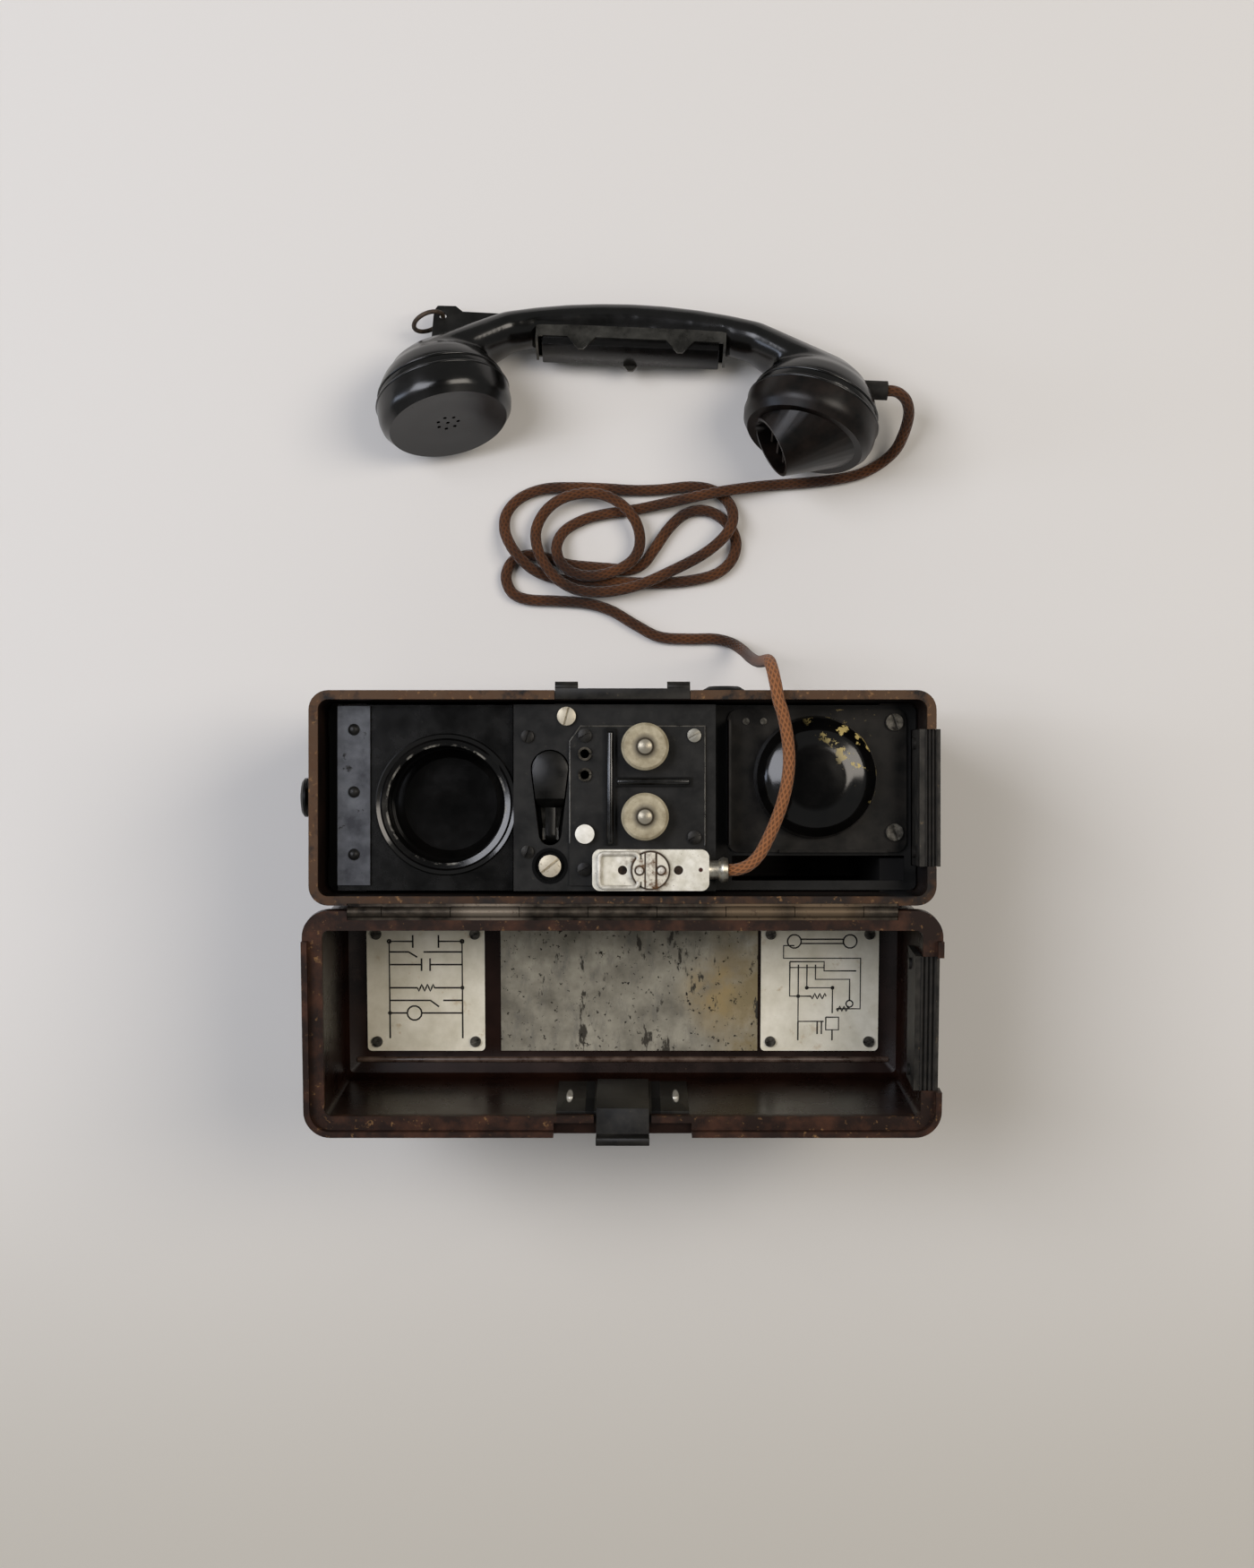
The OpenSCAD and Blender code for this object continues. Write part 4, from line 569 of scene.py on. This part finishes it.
# Turned brass: a dull yellow shine.
dull_brass = mottled("dull_brass", "#5f4a24", "#a48547", 0.4, 6, metal=0.9)
dress("terminal_posts", dull_brass)
# Blackened brass: dark, with a grey glint on its edges.
socket_metal = mottled("blackened_sockets", "#1a1815", "#5f5a50", 0.35, 3, metal=0.8)
dress("jack_sockets", socket_metal)

# Test button
# A push button moulded from white urea, on a spring below the panel: clean, pale and a little
# glossy.
button_white = mottled("white_urea", "#d6d2c6", "#f2efe6", 0.35, 4)
dress("test_button", button_white, 0.3)

# Crank
# The folding generator crank in its pocket: a steel arm and a black moulded grip. The shaft it
# turns and the bell's clapper are of the same steel.

# Worn steel: bare grey with a soft shine.
crank_steel = mottled("worn_steel", "#4c4a46", "#8d8a83", 0.4, 5, metal=0.9)
dress("crank_arm drive_shaft bell_clapper", crank_steel)
# Moulded phenolic: smooth black with broad highlights.
grip_black = mottled("grip_moulding", "#080807", "#161513", 0.32, 8)
dress("crank_grip", grip_black, 0.5)

# Plug
# A flat cast plug in cream paint, stained by rust, with a wire bail, a hub and a nickelled
# collar where the cord goes in.
hub, studs, grime = (12.2, -31.567), [(7.4, -31.567), (16.8, -31.567)], "#33261a"

# Brushed cream paint: pale and half glossy, with brown dirt in each seam and rust stains.
plug_cream = mottled("stained_cream_paint", "#c4bfae", "#ece8dc", 0.42, 6)
over_coat(plug_cream, near(plug_cream, [hub], 8.4, 0.7), grime, 0.75)
over_coat(plug_cream, near(plug_cream, [hub], 7.7, 0.3), "#d3cdbd", 0.45)
for left, right in ((9.3, 10.3), (14.1, 15.3)):
    slit = both(plug_cream, band(plug_cream, left, right, 0.3), near(plug_cream, [hub], 8.2))
    over_coat(plug_cream, slit, grime, 0.75)
over_coat(plug_cream, near(plug_cream, studs, 2.1, 0.5), grime, 0.7)
over_coat(plug_cream, near(plug_cream, studs, 1.35, 0.3), "#dcd8cd", 0.3)
over_coat(plug_cream, near(plug_cream, [(34.1, -31.4)], 0.8, 0.3), "#3a1812", 0.6)
rusty = near(plug_cream, [(9, -29), (13.5, -36)], 5, 6)
over_coat(plug_cream, both(plug_cream, rusty, patches(plug_cream, 4, 0.47, 0.64)), "#5d4128", 0.75)
over_coat(plug_cream, patches(plug_cream, 1.8, 0.64, 0.7, seed=2), "#3b2c1f", 0.8)
dress("plug_body plug_hub", plug_cream, 0.4)
# Oxidised brass: brown and nearly dull.
pin_brown = mottled("oxidised_pins", "#17110d", "#43352a", 0.5, 3, metal=0.5)
dress("plug_pins", pin_brown)
# Thin cream paint on wire: pale, with the metal glinting through.
bail_paint = mottled("bail_paint", "#a8a294", "#dedacf", 0.4, 3, metal=0.3)
dress("plug_bail", bail_paint)
# Nickel plate: a bright warm grey.
collar_nickel = mottled("collar_nickel", "#7d776a", "#c9c4b6", 0.35, 3, metal=0.9)
dress("plug_collar", collar_nickel)

# Bell
# A pressed steel gong in chipped black enamel over a bracket plate, with its coils and clapper
# below the deck.

# Stoved enamel: wet-looking black, chipped to the yellow ground coat on one side.
gong_enamel = mottled("chipped_gong_enamel", "#040404", "#0c0b0a", 0.14, 14, spread=0.06, shine=0.45)
chipped_side = rising(gong_enamel, (0.8, 0.6, 0), 84, 92)
over_coat(gong_enamel, both(gong_enamel, chipped_side, patches(gong_enamel, 7, 0.56, 0.585, 8)), "#b9a566", 0.55)
dress("bell_gong", gong_enamel)
# Brushed black paint: brownish, with flakes of the same ground coat fallen on it.
bracket_paint = mottled("bracket_paint", "#0c0b09", "#1f1b16", 0.36, 9)
strewn = near(bracket_paint, [(88, 36), (104, 33)], 9, 6)
over_coat(bracket_paint, both(bracket_paint, strewn, patches(bracket_paint, 4, 0.6, 0.64, 5)), "#a8925a", 0.6)
dress("bell_plate", bracket_paint)
# Oxidised steel: dark grey with a glint on the slots. The screws of the lid's plates are like them.
screw_dark = mottled("oxidised_screws", "#262421", "#77736a", 0.36, 3, metal=0.7)
dress("bell_screws lid_plate_screws", screw_dark)
# Varnished wire: glossy red-brown.
winding = mottled("varnished_winding", "#3c2110", "#6e4220", 0.35, 3)
dress("bell_coils", winding)

# Generator
# A hand generator: brass frame, three red horseshoe magnets, soft-iron poles and a wound
# armature turned by a gear and pinion.

# Cast brass: a dull brown-yellow shine.
frame_brass = mottled("cast_brass", "#5a4a26", "#947a40", 0.45, 8, metal=0.9)
dress("generator_frame drive_gear", frame_brass)
# Dipped enamel: dark red and half glossy.
magnet_red = mottled("magnet_enamel", "#4a140e", "#7a2a1c", 0.4, 10)
dress("generator_magnets", magnet_red, 0.3)
# Machined soft iron: a plain grey shine.
soft_iron = mottled("soft_iron", "#3a3a39", "#666562", 0.45, 6, metal=0.9)
dress("generator_poles armature", soft_iron)

# Dry cell
# A square cell in a folded case of waxed card with a top of pitch. The wax leaves it tan and
# nearly dull.
waxed_card = mottled("waxed_card", "#5c4a2c", "#8c7446", 0.6, 9)
dress("dry_cell", waxed_card, 0.6)

# Lid
# A deep moulded lid of red-brown phenolic, glossy within and worn along its lip, with two
# enamelled plates screwed to its floor.

# Pressed phenolic: dark red-brown and glossy, scuffed and specked, with a dull brown lip.
lid_phenolic = mottled("pressed_phenolic_lid", "#0e0604", "#211009", 0.28, 26)
over_coat(lid_phenolic, patches(lid_phenolic, 9, 0.62, 0.76, seed=22, stretch=(0.3, 0.3, 1)), "#2c1a11", 0.5)
lid_lip = rising(lid_phenolic, (0, -0.1157, 1), 140.9, 144.4)
over_coat(lid_phenolic, lid_lip, "#1f110a", 0.5)
over_coat(lid_phenolic, both(lid_phenolic, lid_lip, patches(lid_phenolic, 14, 0.46, 0.68)), "#442819", 0.6)
over_coat(lid_phenolic, both(lid_phenolic, lid_lip, patches(lid_phenolic, 2.6, 0.6, 0.72, 4)), "#86643f", 0.7)
over_coat(lid_phenolic, patches(lid_phenolic, 3, 0.7, 0.76, seed=2), "#5f452f", 0.6)
dress("lid_shell", lid_phenolic, 1.0, flats=True)
# Stoved cream enamel: pale and even, with tan stains and a few dark specks.
plate_enamel = mottled("cream_enamel", "#d3ccb6", "#eee8d6", 0.45, 14)
over_coat(plate_enamel, patches(plate_enamel, 9, 0.6, 0.76, seed=4), "#b59a6d", 0.6)
over_coat(plate_enamel, patches(plate_enamel, 1.6, 0.72, 0.76, seed=1), "#5a4a36", 0.7)
dress("lid_plates", plate_enamel)

# Lid bead
# A stiffening bead moulded along the lid floor below the plates. It is drawn on the lid as it lies
# shut and turned back with it.


def turned(degrees, axis):
    return Matrix.Rotation(math.radians(degrees), 4, axis)


hinge_line = Vector((0, -0.0498, 0.14))
on_lid = Matrix.Translation(hinge_line) @ turned(186.6, "X") @ Matrix.Translation(-hinge_line)
# Painted highlight: phenolic painted paler than the lid, with a thin highlight along it.
bead_highlight_paint = mottled("bead_painted_highlight", "#33241c", "#66554a", 0.3, 8, shine=0.5)
lid_bead = rounded_rod(1.4, 250, (0, 32, 208.1), (0, 90, 0))
lid_bead.name = "lid_bead"
lid_bead.data.transform(on_lid)
lid_bead.data.materials.append(bead_highlight_paint)
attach(lid_bead, "lid")

# Wiring diagrams
# Thin black lines printed on the two cream plates: plain loops, coils, gaps and contacts of no
# particular circuit.
plate_out, plate_y, print_height = 92, -2.4, 206.96

# Printing ink: flat and nearly black.
ink = mottled("diagram_ink", "#14130f", "#2b2822", 0.6, 4)


def ring_of(x, y, r, count=14):
    angles = [2 * math.pi * k / count for k in range(count + 1)]
    return [(x + r * math.cos(a), y + r * math.sin(a)) for a in angles]


def dot_of(x, y, r=0.6):
    return ring_of(x, y, r, 8)


def coil_of(x, y, width, turns, high):
    return [(x + width * k / (4 * turns), y + high * math.sin(math.pi * k / 2)) for k in range(4 * turns + 1)]


def diagram(name, centre, strokes, thick_mm):
    placed = [[(centre + x, y + plate_y) for x, y in stroke] for stroke in strokes]
    obj = traced(name, placed, print_height, thick_mm, 0)
    obj.data.transform(on_lid)
    obj.data.materials.append(ink)
    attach(obj, "lid")


diagram("diagram_left", -plate_out, [
    [(-17, 24), (-17, -22), (-6, -22)], [(17, 24), (17, -22), (6, -22)], [(-17, 12), (-9, 12)],
    [(-2, 12), (17, 12)], [(-17, 0), (-4, 0)], [(4, 0), (17, 0)], [(-17, -11), (-2, -11)],
    [(2, -11), (17, -11)], [(-2, -14), (-2, -8)], [(2, -14), (2, -8)], [(-6, -25), (-6, -19)],
    [(6, -25), (6, -19)], ring_of(-5.5, 12, 3.4), coil_of(-4, 0, 8, 3, 1.6), [(-17, 6), (2, 6), (6, 9)],
    [(8, 6), (17, 6)], [(-17, -17), (-8, -17), (-4, -14.5)], [(-1, -17), (17, -17)],
    dot_of(-17, -22, 0.8), dot_of(17, -22, 0.8), dot_of(-17, 12), dot_of(17, 0)], 0.8)
diagram("diagram_right", plate_out, [
    [(-12, -20), (-17, -20), (-17, -14), (19, -14), (19, 10), (8, 10)], ring_of(-12, -22, 3.2),
    ring_of(14, -22, 3.2), [(-9, -21), (11, -21)], [(-9, -23), (11, -23)], [(-14, -11), (-14, 4), (-4, 4)],
    [(-10, -11), (-10, 16), (2, 16)], [(-6, -11), (-6, 0), (6, 0), (6, 12)],
    [(-2, -11), (-2, -4), (14, -4), (14, 6)], [(2, -11), (2, -8), (17, -8)],
    [(-14, -12.4), (2, -12.4), (2, -9.6), (-14, -9.6), (-14, -12.4)], coil_of(-4, 4, 7, 3, 1.3),
    coil_of(8, 10, 6, 3, 1.2), [(3, 14), (9, 14), (9, 20), (3, 20), (3, 14)], ring_of(14, 7.6, 1.6),
    [(-1, 16), (-1, 22)], [(1, 16), (1, 22)], [(6, 20), (6, 25)], [(-10, 16), (-10, 25)],
    dot_of(-6, 0), dot_of(6, 0), dot_of(-10, 4)], 0.68)

# Stained sheet
# A bare tinned sheet laid in the lid floor between the plates, scratched across, pitted and
# browned at one end.

# Tinned steel: a blotched pale grey with a weak shine, yellow-brown stains and black pits.
tin = mottled("stained_tin", "#7b7669", "#b1ab9a", 0.4, 18, metal=0.45)
across = (1, 0.35, 1)
over_coat(tin, patches(tin, 5, 0.5, 0.8, 3, across), "#6a6862", 0.5, 0.4)
over_coat(tin, both(tin, near(tin, [(47, -92)], 8, 16), patches(tin, 14, 0.3, 0.6, 6)), "#a18c62", 0.5, 0.3)
over_coat(tin, both(tin, rising(tin, (1, 0, 0), 38, 54), patches(tin, 12, 0.34, 0.62, 8)), "#87795a", 0.55, 0.3)
over_coat(tin, patches(tin, 6, 0.6, 0.64, 11, across), "#3b372f", 0.7, 0.1)
over_coat(tin, patches(tin, 2.2, 0.6, 0.64, 7), "#221e18", 0.8, 0.1)
dress("note_sheet", tin)

# Handset
# A moulded black handle with a screwed cap at each end, the one at the mouth with a horn. The
# handle is polished, so its skin is remeshed and eased until it flows.

# Polished phenolic: deep black with clear, broad highlights.
handset_black = mottled("polished_phenolic", "#040403", "#0c0b0a", 0.22, 18, shine=0.5)
dress("ear_cap", handset_black)
# Worn phenolic: brownish black, duller than the handle.
horn_brown = mottled("worn_horn_phenolic", "#080706", "#1b1410", 0.34, 9)
dress("mouth_cap", horn_brown)
handle = bpy.data.objects.new("handle_moulding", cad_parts["handset_handle"].data.copy())
scene.collection.objects.link(handle)
alone(handle)
weld = handle.modifiers.new("weld", "WELD")
weld.merge_threshold = weld_gap
skin = handle.modifiers.new("skin", "REMESH")
skin.mode = "VOXEL"
skin.voxel_size = 0.0011
ease = handle.modifiers.new("ease", "SMOOTH")
ease.factor = 0.5
ease.iterations = 26
for name in ("weld", "skin", "ease"):
    bpy.ops.object.modifier_apply(modifier=name)
bpy.ops.object.shade_smooth()
handle.data.materials.clear()
handle.data.materials.append(handset_black)
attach(handle, "case")
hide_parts("handset_handle")

# Cup beads
# Two turned beads round each end of the handle, one behind the cap and one at its screwed edge.
# They are placed in the frame of each cup, tilted as the handset lies on the floor.
cup_out, cup_splay, bead_ratio, bead_step = 0.0895, 15, 0.947, 0.0055
on_set = Matrix.Translation((0.0022, 0.1884, 0.03268)) @ turned(-22, "X") @ turned(-2.8, "Z")
on_mouth = on_set @ Matrix.Translation((cup_out, 0, 0)) @ turned(-cup_splay, "Z") @ turned(90, "X")
on_ear = on_set @ Matrix.Translation((-cup_out, 0, 0)) @ turned(cup_splay, "Z") @ turned(90, "X")
for name, where in (("ear_beads", on_ear), ("mouth_beads", on_mouth)):
    bpy.ops.object.select_all(action="DESELECT")
    bpy.ops.mesh.primitive_torus_add(
        major_radius=0.032, minor_radius=0.0008, major_segments=96, minor_segments=10)
    beads = bpy.context.object
    beads.name = name
    bpy.ops.object.shade_smooth()
    bpy.ops.object.mode_set(mode="EDIT")
    bpy.ops.mesh.select_all(action="SELECT")
    bpy.ops.mesh.duplicate()
    bpy.ops.transform.resize(value=(bead_ratio, bead_ratio, 1))
    bpy.ops.transform.translate(value=(0, 0, -bead_step))
    bpy.ops.object.mode_set(mode="OBJECT")
    beads.data.transform(where)
    beads.data.materials.append(handset_black)
    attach(beads, "case")

# Horn louvres
# Four thin moulded blades across the throat of the horn keep the spray and the wind off the
# microphone.
throat, blade_thick, blade_deep, blade_tilt, blade_sunk = 13.4, 1.3, 5, 24, 0.0075
in_horn = on_mouth @ Matrix.Translation((-0.0141, 0, 0.0238)) @ turned(-43.6, "Y")
blades = []
for off in (-8.4, -2.8, 2.8, 8.4):
    bpy.ops.object.select_all(action="DESELECT")
    bpy.ops.mesh.primitive_cube_add(size=0.001)
    blade = bpy.context.object
    bpy.ops.object.mode_set(mode="EDIT")
    bpy.ops.mesh.select_all(action="SELECT")
    bpy.ops.transform.resize(value=(blade_thick, 2 * math.sqrt(throat ** 2 - off ** 2), blade_deep))
    bpy.ops.mesh.bevel(offset=0.0005, segments=2, affect="EDGES")
    bpy.ops.object.mode_set(mode="OBJECT")
    blade.data.transform(in_horn @ Matrix.Translation((off / 1000, 0, -blade_sunk)) @ turned(blade_tilt, "Y"))
    blades.append(blade)
louvres = joined("horn_louvres", blades)
bpy.ops.object.shade_smooth_by_angle(angle=crease)
# Painted light: phenolic painted grey and half dull, lighter than the horn, so the blades stand out
# from the dark throat.
louvre_painted_light = mottled("louvres_painted_light", "#2b2722", "#57504a", 0.4, 5)
louvres.data.materials.append(louvre_painted_light)
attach(louvres, "case")

# Handset fittings
# Two capsules inside, the talk bar in its worn metal frame, and the plate and ring to hang it by.

# Painted shade: a matte near-black, so that the holes of the ear cap read as dark holes.
capsule_shade_black = mottled("capsule_painted_shade", "#020202", "#070706", 0.85, 6, shine=0.05)
dress("receiver_capsules", capsule_shade_black)
# Worn steel: dark grey with a clear shine, and pale patches drawn along the handle that are partly
# wear and partly painted highlight.
frame_wear_and_highlight = mottled("talk_frame_wear_and_highlight", "#33322f", "#6d6b65", 0.3, 16, metal=0.8, shine=0.5)
over_coat(frame_wear_and_highlight, patches(frame_wear_and_highlight, 6, 0.6, 0.72, stretch=(0.35, 1, 1)), "#6f6d67", 0.3, 0.8)
dress("talk_frame", frame_wear_and_highlight)
# Rusted steel wire: brown and nearly dull.
ring_rust = mottled("rusted_wire", "#241d17", "#5b4e42", 0.55, 3, metal=0.4)
dress("hanger_ring", ring_rust)
# Moulded phenolic: plain black with a soft gloss.
bar_black = mottled("talk_bar_moulding", "#040404", "#0d0c0b", 0.3, 7)
dress("talk_bar", bar_black, 0.4)
dress("hanger_plate", black_enamel, 0.2)
